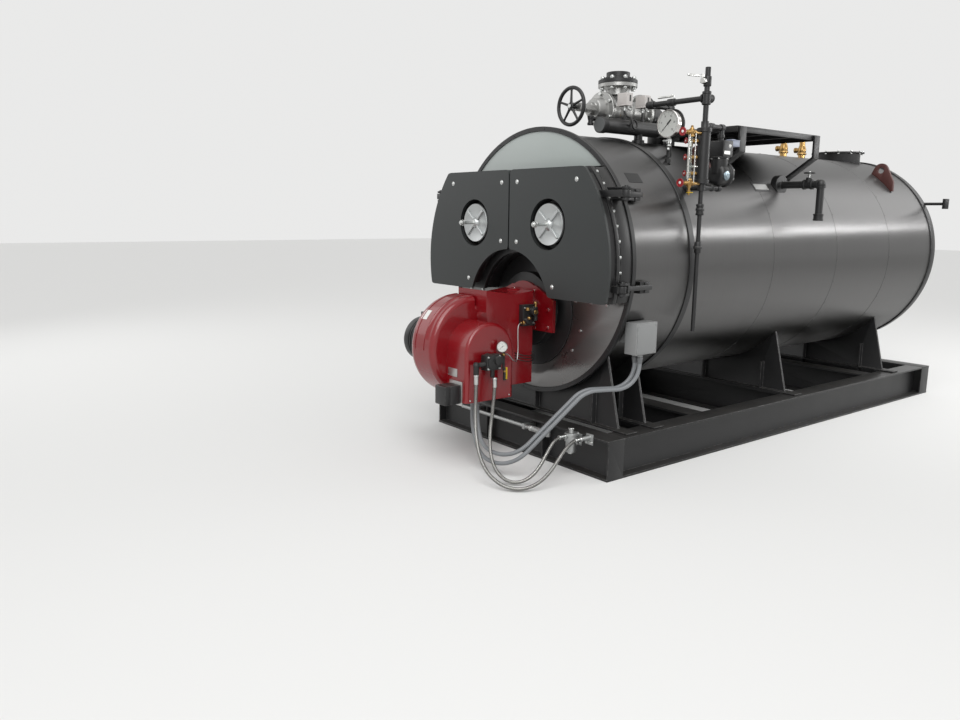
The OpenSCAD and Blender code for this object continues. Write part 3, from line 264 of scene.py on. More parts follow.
def dust_effect():
    """Mask of the plant-room dust that settles on faces that look up."""
    group, given, out = effect("dust", [("Amount", 0.4), ("Scale", 5.0)], [("Mask", "NodeSocketFloat")])
    n, links = group.nodes, group.links
    place, shape, parts = n.new("ShaderNodeTexCoord"), n.new("ShaderNodeNewGeometry"), n.new("ShaderNodeSeparateXYZ")
    flat, cloud, both, total = (n.new("ShaderNodeMapRange"), n.new("ShaderNodeTexNoise"),
                                n.new("ShaderNodeMath"), n.new("ShaderNodeMath"))
    flat.inputs["From Min"].default_value = 0.25
    cloud.inputs["Detail"].default_value = 6.0
    both.operation = total.operation = "MULTIPLY"
    links.new(shape.outputs["Normal"], parts.inputs[0])
    links.new(parts.outputs["Z"], flat.inputs["Value"])
    links.new(place.outputs["Object"], cloud.inputs["Vector"])
    links.new(given.outputs["Scale"], cloud.inputs["Scale"])
    links.new(flat.outputs[0], both.inputs[0])
    links.new(cloud.outputs["Fac"], both.inputs[1])
    links.new(both.outputs[0], total.inputs[0])
    links.new(given.outputs["Amount"], total.inputs[1])
    links.new(total.outputs[0], out.inputs["Mask"])
    return group


def grain_effect():
    """Fine unevenness of a coat or a cast skin, as a normal."""
    group, given, out = effect("grain", [("Scale", 400.0), ("Strength", 0.15), ("Depth", 0.001)],
                               [("Normal", "NodeSocketVector"), ("Value", "NodeSocketFloat")])
    n, links = group.nodes, group.links
    place, noise, bump = n.new("ShaderNodeTexCoord"), n.new("ShaderNodeTexNoise"), n.new("ShaderNodeBump")
    noise.inputs["Detail"].default_value = 3.0
    links.new(place.outputs["Object"], noise.inputs["Vector"])
    links.new(given.outputs["Scale"], noise.inputs["Scale"])
    links.new(given.outputs["Strength"], bump.inputs["Strength"])
    links.new(given.outputs["Depth"], bump.inputs["Distance"])
    links.new(noise.outputs["Fac"], bump.inputs["Height"])
    links.new(bump.outputs[0], out.inputs["Normal"])
    links.new(noise.outputs["Fac"], out.inputs["Value"])
    return group


edge_wear, dust, grain = wear_effect(), dust_effect(), grain_effect()


def coated(name, colour, rough, metallic=0.0, bare=(0.16, 0.155, 0.15), wear=0.4, dusty=0.15, scale=400.0,
           bump=0.1, depth=0.0005, uneven=0.06, coat=0.0):
    """A painted or cast surface: rubbed edges, dust on top, a fine grain and a gloss that varies a little."""
    material, n, links, shader = finish(name, colour, metallic, rough)
    rubbed, dulled, skin = (n.new("ShaderNodeGroup") for _ in range(3))
    rubbed.node_tree, dulled.node_tree, skin.node_tree = edge_wear, dust, grain
    rubbed.inputs["Amount"].default_value = wear
    dulled.inputs["Amount"].default_value = dusty
    skin.inputs["Scale"].default_value = scale
    skin.inputs["Strength"].default_value = bump
    skin.inputs["Depth"].default_value = depth
    place, cloud = n.new("ShaderNodeTexCoord"), n.new("ShaderNodeTexNoise")
    cloud.inputs["Scale"].default_value = 3.5
    cloud.inputs["Detail"].default_value = 6.0
    links.new(place.outputs["Object"], cloud.inputs["Vector"])
    tint, edged, dusted = (n.new("ShaderNodeMix") for _ in range(3))
    for mix in (tint, edged, dusted):
        mix.data_type = "RGBA"
    tint.inputs["A"].default_value = (*[c * 0.93 for c in colour], 1)
    tint.inputs["B"].default_value = (*[min(c * 1.07, 1) for c in colour], 1)
    edged.inputs["B"].default_value = (*bare, 1)
    dusted.inputs["B"].default_value = (0.19, 0.18, 0.16, 1)
    links.new(cloud.outputs["Fac"], tint.inputs["Factor"])
    links.new(tint.outputs["Result"], edged.inputs["A"])
    links.new(rubbed.outputs["Mask"], edged.inputs["Factor"])
    links.new(edged.outputs["Result"], dusted.inputs["A"])
    links.new(dulled.outputs["Mask"], dusted.inputs["Factor"])
    links.new(dusted.outputs["Result"], shader.inputs["Base Color"])
    gloss = n.new("ShaderNodeMapRange")
    gloss.inputs["To Min"].default_value = max(rough - uneven, 0.02)
    gloss.inputs["To Max"].default_value = min(rough + uneven, 1.0)
    links.new(cloud.outputs["Fac"], gloss.inputs["Value"])
    links.new(gloss.outputs[0], shader.inputs["Roughness"])
    links.new(skin.outputs["Normal"], shader.inputs["Normal"])
    if coat:
        shader.inputs["Coat Weight"].default_value = coat
        shader.inputs["Coat Roughness"].default_value = 0.06
    return material


def eased(shape, width, steps=2):
    """Rounds the sharp edges of a shape, as paint and a file leave them."""
    sharp = math.radians(32)
    edges = [e for e in shape.edges if len(e.link_faces) == 2 and e.calc_face_angle(0) > sharp]
    eased_faces = shape.faces.layers.float.get("eased") or shape.faces.layers.float.new("eased")
    rounded = bmesh.ops.bevel(shape, geom=edges, offset=width / 1000, offset_type="OFFSET", segments=steps,
                              profile=0.5, affect="EDGES", clamp_overlap=True, material=-1)
    for face in rounded["faces"]:
        face[eased_faces] = 1.0


def from_frame(node, width=2.0):
    """A CAD node's shape with its triangles merged into whole faces and its sharp edges eased."""
    shape = bmesh.new()
    shape.from_mesh(nodes[node].data)
    bmesh.ops.remove_doubles(shape, verts=shape.verts, dist=2e-5)
    bmesh.ops.dissolve_limit(shape, angle_limit=math.radians(1.5), verts=shape.verts, edges=shape.edges)
    if width:
        eased(shape, width)
    return shape


black_enamel = coated("black_enamel", (0.0085, 0.0085, 0.009), 0.42, wear=0.4, dusty=0.16, scale=260)
for node in ("left_rail", "right_rail", "front_beam", "rear_beam", "cross_beams", "saddles"):
    piece(node + "_steel", from_frame(node, 2.5), black_enamel, stands_for=[node])


# The shell: a stainless jacket in sheets over the insulated boiler, another round the smokebox, and a black
# band over the joint. Each sheet laps the next and is held by screws; the rear end has an angle ring.
def add(shape, part, *places):
    """Adds a part to a shape, once at each place or where it is, and frees it."""
    mesh = bpy.data.meshes.new("part")
    part.to_mesh(mesh)
    part.free()
    for place in places or [Matrix()]:
        copy = mesh.copy()
        copy.transform(place)
        shape.from_mesh(copy)
        bpy.data.meshes.remove(copy)
    bpy.data.meshes.remove(mesh)


to_front, to_rear, to_right, to_left, down = (0, -1, 0), (0, 1, 0), (1, 0, 0), (-1, 0, 0), (0, 0, -1)


def stand(x, y, z, axis=(0, 0, 1), spun=0.0):
    """The place of a part on a point of the boiler, with the part's own Z along an axis."""
    ahead = Vector(axis).normalized()
    side = Vector((0, 0, 1)).cross(ahead) if abs(ahead.z) < 0.999 else Vector((1, 0, 0))
    side.normalize()
    place = Matrix((side, ahead.cross(side), ahead)).transposed().to_4x4()
    place.translation = at(x, y, z)
    return place @ Matrix.Rotation(math.radians(spun), 4, "Z")


def turned(profile, steps=48, closed=False):
    """A part turned on a lathe, from (radius, height) pairs in millimetres."""
    part = bmesh.new()
    verts = [part.verts.new((r / 1000, 0, h / 1000)) for r, h in profile]
    edges = [part.edges.new(pair) for pair in zip(verts, verts[1:] + (verts[:1] if closed else []))]
    bmesh.ops.spin(part, geom=verts + edges, cent=(0, 0, 0), axis=(0, 0, 1), angle=2 * math.pi, steps=steps,
                   use_merge=True)
    bmesh.ops.remove_doubles(part, verts=part.verts, dist=1e-6)
    bmesh.ops.recalc_face_normals(part, faces=part.faces)
    return part


def dome(radius, high, steps=16):
    """A round rivet or screw head."""
    bow = [(radius * math.cos(math.radians(a)), high * math.sin(math.radians(a))) for a in (0, 25, 50, 72)]
    return turned([(0, -0.5), (radius, -0.5), *bow, (0, high)], steps)


def brushed(name, colour, rough, grain_axis, streak=0.35, uneven=0.1):
    """Rolled stainless sheet: fine brush marks round the shell, cloudy hand marks and a soft gloss."""
    material, n, links, shader = finish(name, colour, 1.0, rough)
    place, stretch, marks = n.new("ShaderNodeTexCoord"), n.new("ShaderNodeMapping"), n.new("ShaderNodeTexNoise")
    cloud, mid = n.new("ShaderNodeTexNoise"), n.new("ShaderNodeMath")
    stretch.inputs["Scale"].default_value = grain_axis
    marks.inputs["Scale"].default_value = 1.0
    marks.inputs["Detail"].default_value = 4.0
    cloud.inputs["Scale"].default_value = 2.2
    cloud.inputs["Detail"].default_value = 7.0
    cloud.inputs["Roughness"].default_value = 0.6
    links.new(place.outputs["Object"], stretch.inputs["Vector"])
    links.new(stretch.outputs[0], marks.inputs["Vector"])
    links.new(place.outputs["Object"], cloud.inputs["Vector"])
    tint, bump, gloss = n.new("ShaderNodeMix"), n.new("ShaderNodeBump"), n.new("ShaderNodeMapRange")
    tint.data_type = "RGBA"
    tint.inputs["A"].default_value = (*[c * (1 - streak) for c in colour], 1)
    tint.inputs["B"].default_value = (*[min(c * (1 + streak), 1) for c in colour], 1)
    mid.operation = "MULTIPLY_ADD"
    mid.inputs[1].default_value = 0.5
    links.new(marks.outputs["Fac"], mid.inputs[0])
    half = n.new("ShaderNodeMath")
    half.operation = "MULTIPLY"
    half.inputs[1].default_value = 0.5
    links.new(cloud.outputs["Fac"], half.inputs[0])
    links.new(half.outputs[0], mid.inputs[2])
    links.new(mid.outputs[0], tint.inputs["Factor"])
    links.new(tint.outputs["Result"], shader.inputs["Base Color"])
    bump.inputs["Strength"].default_value = 0.1
    bump.inputs["Distance"].default_value = 0.0002
    links.new(marks.outputs["Fac"], bump.inputs["Height"])
    links.new(bump.outputs[0], shader.inputs["Normal"])
    gloss.inputs["To Min"].default_value = rough - uneven
    gloss.inputs["To Max"].default_value = rough + uneven
    links.new(cloud.outputs["Fac"], gloss.inputs["Value"])
    links.new(gloss.outputs[0], shader.inputs["Roughness"])
    shader.inputs["Anisotropic"].default_value = 0.85
    if grain_axis[1] > grain_axis[2]:
        turn = n.new("ShaderNodeTangent")
        turn.direction_type, turn.axis = "RADIAL", "Y"
        links.new(turn.outputs[0], shader.inputs["Tangent"])
        shader.inputs["Anisotropic Rotation"].default_value = 0.25
    return material


def sleeve(radius, start, end, wall, rows=(), hole=None):
    """A jacket round the shell's axis; a hole is cut round an upright axis at its place along the shell."""
    shape = bmesh.new()
    stops = sorted({start, *rows, end})
    verts = [shape.verts.new((radius / 1000, 0, -y / 1000)) for y in stops]
    edges = [shape.edges.new(pair) for pair in zip(verts, verts[1:])]
    bmesh.ops.spin(shape, geom=verts + edges, cent=(0, 0, 0), axis=(0, 0, 1), angle=2 * math.pi, steps=192,
                   use_merge=True)
    bmesh.ops.transform(shape, matrix=stand(0, 0, 0, to_front), verts=shape.verts)
    bmesh.ops.remove_doubles(shape, verts=shape.verts, dist=1e-6)
    if hole:
        middle, reach = at(0, hole[0], 0), hole[1] / 1000
        inside = [f for f in shape.faces if f.calc_center_median().z > middle.z
                  and (f.calc_center_median().xy - middle.xy).length < reach]
        bmesh.ops.delete(shape, geom=inside, context="FACES")
        rim = {v for e in shape.edges if e.is_boundary for v in e.verts
               if v.co.z > middle.z and at(0, start, 0).y + 0.001 < v.co.y < at(0, end, 0).y - 0.001}
        for v in rim:
            v.co.xy = middle.xy + (v.co.xy - middle.xy).normalized() * reach
            v.co.z = middle.z + math.sqrt((radius / 1000) ** 2 - v.co.x**2)
    bmesh.ops.recalc_face_normals(shape, faces=shape.faces)
    if sum((f.normal.x * f.calc_center_median().x for f in shape.faces)) < 0:
        bmesh.ops.reverse_faces(shape, faces=shape.faces)
    bmesh.ops.solidify(shape, geom=shape.faces[:], thickness=wall / 1000)
    return shape


def around(radius, y, degrees):
    """Places that look outwards from the shell, at angles from straight up."""
    turns = [math.radians(a) for a in degrees]
    return [stand(radius * math.sin(t), y, radius * math.cos(t),
                  (math.sin(t), 0, math.cos(t))) for t in turns]


steel_sheet = brushed("brushed_stainless", (0.145, 0.1435, 0.1425), 0.33, (3.0, 260.0, 3.0), 0.14, 0.03)
stack_y, stack_hole = 3885, 193
hole_rows = [stack_y + step for step in range(-252, 204, 28)]
jacket = sleeve(855, 625, 4090, 10, hole_rows, (stack_y, stack_hole))
sheet_seams = [1560, 2440, 3300]
for y in sheet_seams:
    add(jacket, turned([(855, 0), (856.6, 1.0), (856.6, 27), (855, 28), (852, 28), (852, 0)], 192,
                       closed=True),
        stand(0, y + 28, 0, to_front))
for y in (*sheet_seams, 4055):
    add(jacket, dome(5, 2.6, 10), *around(857, y + 14, range(6, 360, 12)))
piece("main_jacket_sheets", jacket, steel_sheet, stands_for=["main_jacket"])

smokebox_jacket = sleeve(862, 20, 575, 10, [297])
add(smokebox_jacket, dome(5, 2.6, 10), *around(862, 45, range(4, 360, 8)))
piece("smokebox_jacket_sheet", smokebox_jacket, steel_sheet, stands_for=["front_jacket"])

band = turned([(845.5, 0), (868, 0), (870, 2), (870, 48), (868, 50), (845.5, 50)], 192, closed=True)
bmesh.ops.transform(band, matrix=stand(0, 625, 0, to_front), verts=band.verts)
piece("girth_band_strip", band, black_enamel, stands_for=["girth_band"])
for node in ("rear_ring", "rear_door"):
    piece(node + "_steel", from_frame(node, 3.0), black_enamel, stands_for=[node])


# The front: an angle ring holds a bare silver crest above the doors and a stainless plate below. A black
# box frame stands out of it, and behind it the tube sheet closes the shell with the rolled ends of the tubes.
def rod(radius, length, ease=1.0, steps=32):
    """A round bar that stands on its foot, with both ends chamfered."""
    return turned([(0, 0), (radius - ease, 0), (radius, ease), (radius, length - ease),
                   (radius - ease, length),
                   (0, length)], steps)


def hexagon(across, high, washer=0.0):
    """A hexagon bolt head or nut, on a washer."""
    part = bmesh.new()
    corner = across / math.sqrt(3)
    bmesh.ops.create_cone(part, cap_ends=True, segments=6, radius1=corner / 1000, radius2=corner / 1000,
                          depth=high / 1000)
    bmesh.ops.translate(part, vec=(0, 0, (high / 2 + washer) / 1000), verts=part.verts)
    eased(part, high * 0.12, 1)
    if washer:
        add(part, rod(across * 0.62, washer, washer * 0.25, 20))
    return part


def ring_spots(radius, y, degrees):
    """Places that look forward on a circle round the shell's axis, at angles from straight up."""
    return [stand(radius * math.sin(math.radians(a)), y, radius * math.cos(math.radians(a)), to_front, a)
            for a in degrees]


def bright(name, colour, rough):
    """Plated or bare metal of small fasteners and fittings, slightly dulled in patches."""
    return coated(name, colour, rough, 1.0, bare=colour, wear=0.0, dusty=0.18, scale=700, bump=0.05,
                  uneven=0.08)


zinc = bright("zinc_plate", (0.55, 0.56, 0.55), 0.3)
silver_panel = coated("silver_panel", (0.36, 0.395, 0.38), 0.34, wear=0.15, dusty=0.06, scale=900, bump=0.05,
                      uneven=0.04)
brushed_front = brushed("brushed_front_sheet", (0.2, 0.197, 0.195), 0.28, (4.0, 40.0, 220.0), 0.16, 0.04)
soot = coated("sooty_plate", (0.035, 0.03, 0.027), 0.85, wear=0.4, bare=(0.12, 0.07, 0.045), dusty=0.3,
              scale=60,
              bump=0.5, depth=0.004, uneven=0.12)

rim = turned([(870, 0), (897, 0), (900, 3), (900, 30), (898, 32), (870, 32)], 192, closed=True)
bmesh.ops.transform(rim, matrix=stand(0, 20, 0, to_front), verts=rim.verts)
add(rim, dome(6, 3, 12), *ring_spots(885, -12, range(5, 360, 10)))
piece("front_rim", rim, black_enamel, stands_for=["front_ring"])
piece("crest_sheet", from_frame("crest_panel", 1.2), silver_panel, stands_for=["crest_panel"])
piece("lower_front_sheet", from_frame("front_plate", 1.0), brushed_front,
      stands_for=["front_plate"])
for node, stuff in (("tube_sheet", soot), ("smokebox_floor", soot), ("burner_plate", black_enamel),
                    ("door_frame", black_enamel)):
    piece(node + "_plate", from_frame(node, 1.5), stuff, stands_for=[node])

studs = bmesh.new()
add(studs, hexagon(19, 10, 2), *ring_spots(888, -112, [a for side in (1, -1) for a in
                                                       (side * b for b in range(49, 102, 6))]))
add(studs, hexagon(17, 8, 2), *[stand(sx * x, -6, z, to_front) for sx in (1, -1)
                                for x, z in ((420, -230), (560, -230), (700, -232), (470, -420),
                                             (400, -560))])
piece("frame_nuts", studs, zinc)


# The two smokebox doors: a black plate with a lining box, faced by a charcoal panel with rounded edges and
# four domed bolts. Each has a round port with a cast cover, clamped by a long stud and a nut.
def built(*parts):
    """A shape made of parts, each given with its places."""
    shape = bmesh.new()
    for part, *places in parts:
        add(shape, part, *places)
    return shape


def weighted(obj):
    """Lets the broad flat faces set the shading where they meet rounded edges."""
    obj.modifiers.new("flat faces", "WEIGHTED_NORMAL").keep_sharp = True
    return obj


charcoal = coated("charcoal_powder_coat", (0.018, 0.021, 0.021), 0.42, bare=(0.1, 0.105, 0.105), wear=0.8,
                  dusty=0.08, scale=900, bump=0.2, uneven=0.05)
cast_aluminium = coated("cast_aluminium", (0.44, 0.455, 0.455), 0.36, 0.8, bare=(0.62, 0.62, 0.62), wear=0.4,
                        dusty=0.1, scale=220, bump=0.3, depth=0.0008, uneven=0.1)
port_x, port_z, port_r = 377, 262, 161
arch_drop, arch_r, panel_r, door_top, door_drop = 319, 412, 918, 612, 199


def arc(middle_x, middle_z, radius, start, end, steps):
    """Points of an arc, with angles in degrees from +X towards +Z."""
    turns = [math.radians(start + (end - start) * i / steps) for i in range(steps + 1)]
    return [(middle_x + radius * math.cos(t), middle_z + radius * math.sin(t)) for t in turns]


def door_face():
    """Half of the front with a round opening, 18 mm thick and rounded on its front edge."""
    part = bmesh.new()
    outer = arc(0, 0, panel_r, math.degrees(math.asin(-door_drop / panel_r)),
                math.degrees(math.asin(door_top / panel_r)), 60)
    foot = math.sqrt(arch_r**2 - (arch_drop - door_drop) ** 2)
    arch = arc(0, -arch_drop, arch_r, math.degrees(math.acos(6 / arch_r)),
               math.degrees(math.acos(foot / arch_r)), 40)
    loop = [part.verts.new((x / 1000, z / 1000, 0)) for x, z in outer + [(6, door_top)] + arch]
    corners = [loop[0], loop[60], loop[61], loop[62], loop[-1]]
    face = part.faces.new(loop)
    bmesh.ops.bevel(part, geom=corners, offset=0.034, offset_type="OFFSET", segments=6, profile=0.5,
                    affect="VERTICES", material=-1)
    bmesh.ops.delete(part, geom=part.faces[:], context="FACES_ONLY")
    hole = bmesh.ops.create_circle(part, segments=96, radius=port_r / 1000)["verts"]
    bmesh.ops.translate(part, vec=(port_x / 1000, port_z / 1000, 0), verts=hole)
    bmesh.ops.triangle_fill(part, use_beauty=True, edges=part.edges[:], normal=(0, 0, 1))
    front = bmesh.ops.extrude_face_region(part, geom=part.faces[:])["geom"]
    bmesh.ops.translate(part, vec=(0, 0, 0.018), verts=[v for v in front if isinstance(v,
                                                                                       bmesh.types.BMVert)])
    bmesh.ops.recalc_face_normals(part, faces=part.faces)
    edges = [e for e in part.edges if e.calc_face_angle(0) > 1 and e.verts[0].co.z > 0.017 and e.verts[1].co.z > 0.017]
    bmesh.ops.bevel(part, geom=edges, offset=0.006, offset_type="OFFSET", segments=4, profile=0.5,
                    affect="EDGES",
                    clamp_overlap=True, material=-1)
    return part


def cut_out(points, high, ease=1.5, steps=2):
    """A plate on its foot, cut to an outline in millimetres, with eased edges."""
    part = bmesh.new()
    part.faces.new([part.verts.new((x / 1000, y / 1000, 0)) for x, y in points])
    raised = bmesh.ops.extrude_face_region(part, geom=part.faces[:])["geom"]
    bmesh.ops.translate(part, vec=(0, 0, high / 1000), verts=[v for v in raised if isinstance(v,
                                                                                              bmesh.types.BMVert)])
    bmesh.ops.recalc_face_normals(part, faces=part.faces)
    if ease:
        eased(part, ease, steps)
    return part


def port_lid():
    """The ribbed cover of a port: a dished disc with a raised rim, four ribs and a hub."""
    part = turned([(0, 0), (131, 0), (132, 1), (132, 12), (130, 15), (126, 15), (119, 10.5), (60, 12),
                   (0, 12)], 96)
    for angle in (45, 135, 225, 315):
        rib = cut_out([(24, -9), (117, -7), (117, 7), (24, 9)], 23, 2.5, 3)
        add(part, rib, Matrix.Rotation(math.radians(angle), 4, "Z"))
    add(part, turned([(0, 5), (40, 5), (38, 14), (30, 27), (23, 33), (0, 33)], 48))
    return part


def port_stud():
    """The long clamping stud with its washer and its nut at the outer end."""
    part = turned([(0, 30), (11, 30), (11, 148), (9, 150), (0, 150)], 24)
    add(part, rod(20, 5, 1), Matrix.Translation((0, 0, 0.033)))
    add(part, hexagon(34, 17, 3), Matrix.Translation((0, 0, 0.122)))
    return part


mirror = Matrix.Scale(-1, 4, (1, 0, 0))
for body, side in (("right_door", 1), ("left_door", -1)):
    flip = mirror if side < 0 else Matrix()
    panel = built((door_face(), flip @ stand(0, -222, 0, to_front)))
    bmesh.ops.recalc_face_normals(panel, faces=panel.faces)
    weighted(piece(body + "_face", panel, charcoal, body, [body + "_panel"], 50))
    plate = from_frame(body + "_plate", 1.5)
    piece(body + "_plate_steel", plate, black_enamel, body, [body + "_plate"])
    bolts = bmesh.new()
    for x, z in ((627, 535), (79, 532), (81, 145), (436, -127)):
        add(bolts, dome(12, 7, 24), stand(side * x, -240, z, to_front))
        add(bolts, rod(15, 1.6, 0.5, 24), stand(side * x, -240, z, to_front))
    piece(body + "_face_bolts", bolts, zinc, body)
    seat = stand(side * port_x, -216, port_z, to_front)
    name = body.replace("door", "port")
    lid = built((port_lid(), seat))
    piece(name + "_lid", lid, cast_aluminium, body, [name + "_cover"], 40)
    piece(name + "_stud", built((port_stud(), seat)), zinc, body)
    hinge = body.replace("door", "hinges")
    brackets = built((from_frame("right_hinges", 1.5), flip))
    bmesh.ops.recalc_face_normals(brackets, faces=brackets.faces)
    piece(hinge + "_brackets", brackets, black_enamel, stands_for=[hinge])


# The burner: a fan scroll with its outlet casing and an arch-topped air box, pressed from sheet and sprayed
# a glossy red, on a round-topped flange that eight studs hold. The fan's black motor stands out at the far side.
def slab(wide, deep, high, ease=2.0, steps=2):
    """A block on its foot, with eased edges."""
    part = bmesh.new()
    bmesh.ops.create_cube(part, size=1)
    bmesh.ops.transform(part, matrix=Matrix.Diagonal((wide / 1000, deep / 1000, high / 1000, 1)),
                        verts=part.verts)
    bmesh.ops.translate(part, vec=(0, 0, high / 2000), verts=part.verts)
    if ease:
        eased(part, ease, steps)
    return part


burner_red = coated("burner_red_gloss", (0.2, 0.0035, 0.007), 0.24, bare=(0.1, 0.015, 0.015), wear=0.3,
                    dusty=0.02,
                    scale=120, bump=0.05, uneven=0.05, coat=0.35)
black_iron = coated("black_cast_iron", (0.011, 0.011, 0.011), 0.46, wear=0.35, dusty=0.2, scale=520,
                    bump=0.35,
                    depth=0.0008)
black_plastic = coated("black_moulding", (0.009, 0.009, 0.0095), 0.36, bare=(0.05, 0.05, 0.05), scale=900,
                       bump=0.06)
bare_tin = bright("bare_tin_plate", (0.5, 0.5, 0.49), 0.42)
yellow_grip = coated("yellow_grip", (0.62, 0.42, 0.02), 0.38, bare=(0.4, 0.3, 0.05), dusty=0.1)
white_label = coated("bare_white_label", (0.72, 0.72, 0.7), 0.45, bare=(0.5, 0.5, 0.48), wear=0.2, dusty=0.05)
brass_metal = bright("cast_brass", (0.36, 0.225, 0.085), 0.28)
dial_white = coated("dial_enamel", (0.66, 0.67, 0.64), 0.4, bare=(0.6, 0.6, 0.58), wear=0.0, dusty=0.0,
                    scale=300,
                    bump=0.02, coat=0.3)

for node, width in (("burner_housing", 0), ("burner_air_box", 0), ("burner_flange", 3)):
    weighted(piece(node + "_shell", from_frame(node, width), burner_red, stands_for=[node]))
piece("fan_motor", from_frame("burner_motor", 2.0), black_enamel, stands_for=["burner_motor"])
held = bmesh.new()
add(held, hexagon(19, 14, 2), *[stand(side * x, -95, z, to_front, 11 * x) for side in (1, -1)
                                for x, z in ((105, -185), (250, -300), (250, -420), (120, -433))])
add(held, dome(6, 3, 12), *[stand(x, y, -835, axis) for x, y, axis in
                            ((251, -740, to_right), (251, -420, to_right), (70, -773, to_front))])
piece("burner_nuts", held, zinc)

fan_y, fan_z, scroll_r = -553.5, -538.5, 339
label = bmesh.new()
bmesh.ops.create_grid(label, x_segments=8, y_segments=12, size=0.5)
for v in label.verts:
    lift = math.radians(40 + v.co.y * 12)
    v.co = at(-130 + v.co.x * 62, fan_y - scroll_r * math.cos(lift), fan_z + scroll_r * math.sin(lift))
bmesh.ops.recalc_face_normals(label, faces=label.faces)
bmesh.ops.solidify(label, geom=label.faces[:], thickness=0.001)
piece("scroll_label", label, white_label)
plate = slab(96, 52, 2, 0.6)
add(plate, dome(3, 1.4, 10), *[Matrix.Translation((x / 1000, y / 1000, 0.002)) for x in (-42,
                                                                                         42) for y in (-20,
                                                                                                       20)])
piece("burner_name_plate_bare", built((plate, stand(110, -773, -667, to_front))), bare_tin)

box = built((slab(130, 155, 8, 1.5), stand(150, -773, -792.5, to_front)))
piece("actuator_plate", box, bare_tin)
box = built((slab(110, 120, 76, 5, 3), stand(150, -781, -795, to_front)),
            (slab(106, 116, 6, 1.5), stand(150, -856, -795, to_front)),
            (slab(110, 120, 40, 5, 3), stand(150, -861, -795, to_front)))
piece("actuator_case", box, black_plastic, stands_for=["air_actuator"])


# The oil side of the burner: a gear pump driven by the fan's shaft, its pressure gauge and drain cock, a steel
# pipe up to the solenoid valves, and the nozzle line's brass fittings.
piece("fuel_pump_body", from_frame("fuel_pump", 1.2), black_iron, stands_for=["fuel_pump"])
piece("nozzle_valve_block", from_frame("nozzle_block", 1.5), black_iron, stands_for=["nozzle_block"])
trim = bmesh.new()
for y, z in ((-655, -555), (-565, -555), (-655, -630), (-565, -630)):
    add(trim, hexagon(10, 7, 1), stand(321, y, z, to_right))
for y, z in ((-245, -285), (-165, -285), (-245, -388), (-165, -388)):
    add(trim, hexagon(11, 8, 1), stand(188, y, z, to_right))
piece("burner_small_bolts", trim, zinc)
oil = bmesh.new()
add(oil, hexagon(26, 16), stand(206, -262, -378, to_front), stand(204, -165, -262),
    stand(222, -235, -340, down))
add(oil, rod(9, 34, 1.5, 20), stand(206, -262, -378, to_front), stand(204, -165, -280))
add(oil, rod(15, 20, 1.5, 24), stand(220, -190, -310, to_right), stand(205, -235, -300))
add(oil, hexagon(24, 14), stand(296, -498, -655, down), stand(296, -512, -560))
add(oil, rod(11, 60, 1.5, 20), stand(296, -498, -655, down))
piece("oil_fittings", oil, brass_metal)
pipe = bmesh.new()
run = [(296, -512, -548), (296, -470, -560), (290, -425, -600), (272, -380, -610), (250, -352, -560),
       (232, -338, -480),
       (216, -325, -410), (208, -305, -382), (206, -278, -378)]
sweep(pipe, smooth_line([at(*p) for p in run], 6), 3.2, 10, (0.9, 0.3, 0.1))
piece("oil_pressure_pipe", pipe, bare_tin)
leads = bmesh.new()
for drop in (0, 18, 36):
    run = [(150, -290, -585 - drop), (176, -285, -590 - drop), (196, -245, -602 - drop),
           (196, -190, -608 - drop),
           (176, -150, -598 - drop), (150, -146, -590 - drop)]
    sweep(leads, smooth_line([at(*p) for p in run], 6), 3.5, 8, (0, 0.1, 1))
piece("burner_leads", leads, black_plastic)
grip = built((slab(16, 5, 78, 2, 2), stand(311, -498, -712)))
piece("drain_cock_lever", grip, yellow_grip)


def shifted(place, along):
    """A place moved along its own axis, in millimetres."""
    return place @ Matrix.Translation((0, 0, along / 1000))


def dial(radius, numbers):
    """The white face of a gauge, and its marks: ticks over three quarters of a turn, numbers, a needle."""
    face, marks = turned([(0, 0), (radius - 0.5, 0), (radius, 0.2), (radius, 0.4), (0, 0.4)], 64), bmesh.new()
    for k in range(41):
        long, wide = (0.15, 0.024) if k % 8 == 0 else (0.1, 0.016) if k % 4 == 0 else (0.06, 0.012)
        lean = Matrix.Rotation(math.radians(135 - 6.75 * k), 4, "Z")
        add(marks, slab(radius * wide, radius * long, 0.3, 0),
            lean @ Matrix.Translation((0, radius * (0.93 - long / 2) / 1000, 0)))
    for k, number in enumerate(numbers):
        curve = bpy.data.curves.new("number", "FONT")
        curve.body, curve.size, curve.extrude = str(number), radius * 0.00021, 0.00015
        curve.align_x, curve.align_y = "CENTER", "CENTER"
        holder = bpy.data.objects.new("number", curve)
        part = bmesh.new()
        part.from_mesh(holder.to_mesh())
        bmesh.ops.remove_doubles(part, verts=part.verts, dist=1e-6)
        bpy.data.objects.remove(holder)
        turn = math.radians(225 - 270 * k / (len(numbers) - 1))
        add(marks, part, Matrix.Translation((radius * 0.00064 * math.cos(turn),
                                             radius * 0.00064 * math.sin(turn), 0)))
    needle = cut_out([(-0.015, 0.8), (0.015, 0.8), (0.03, 0), (0.06, -0.08), (0.06, -0.42), (-0.06, -0.42),
                      (-0.06, -0.08), (-0.03, 0)], 0.9, 0)
    bmesh.ops.scale(needle, vec=(radius, radius, 1), verts=needle.verts)
    add(marks, needle, Matrix.Rotation(math.radians(135), 4, "Z") @ Matrix.Translation((0, 0, 0.0009)))
    add(marks, dome(radius * 0.08, 1.6, 20), Matrix.Translation((0, 0, 0.0014)))
    return face, marks


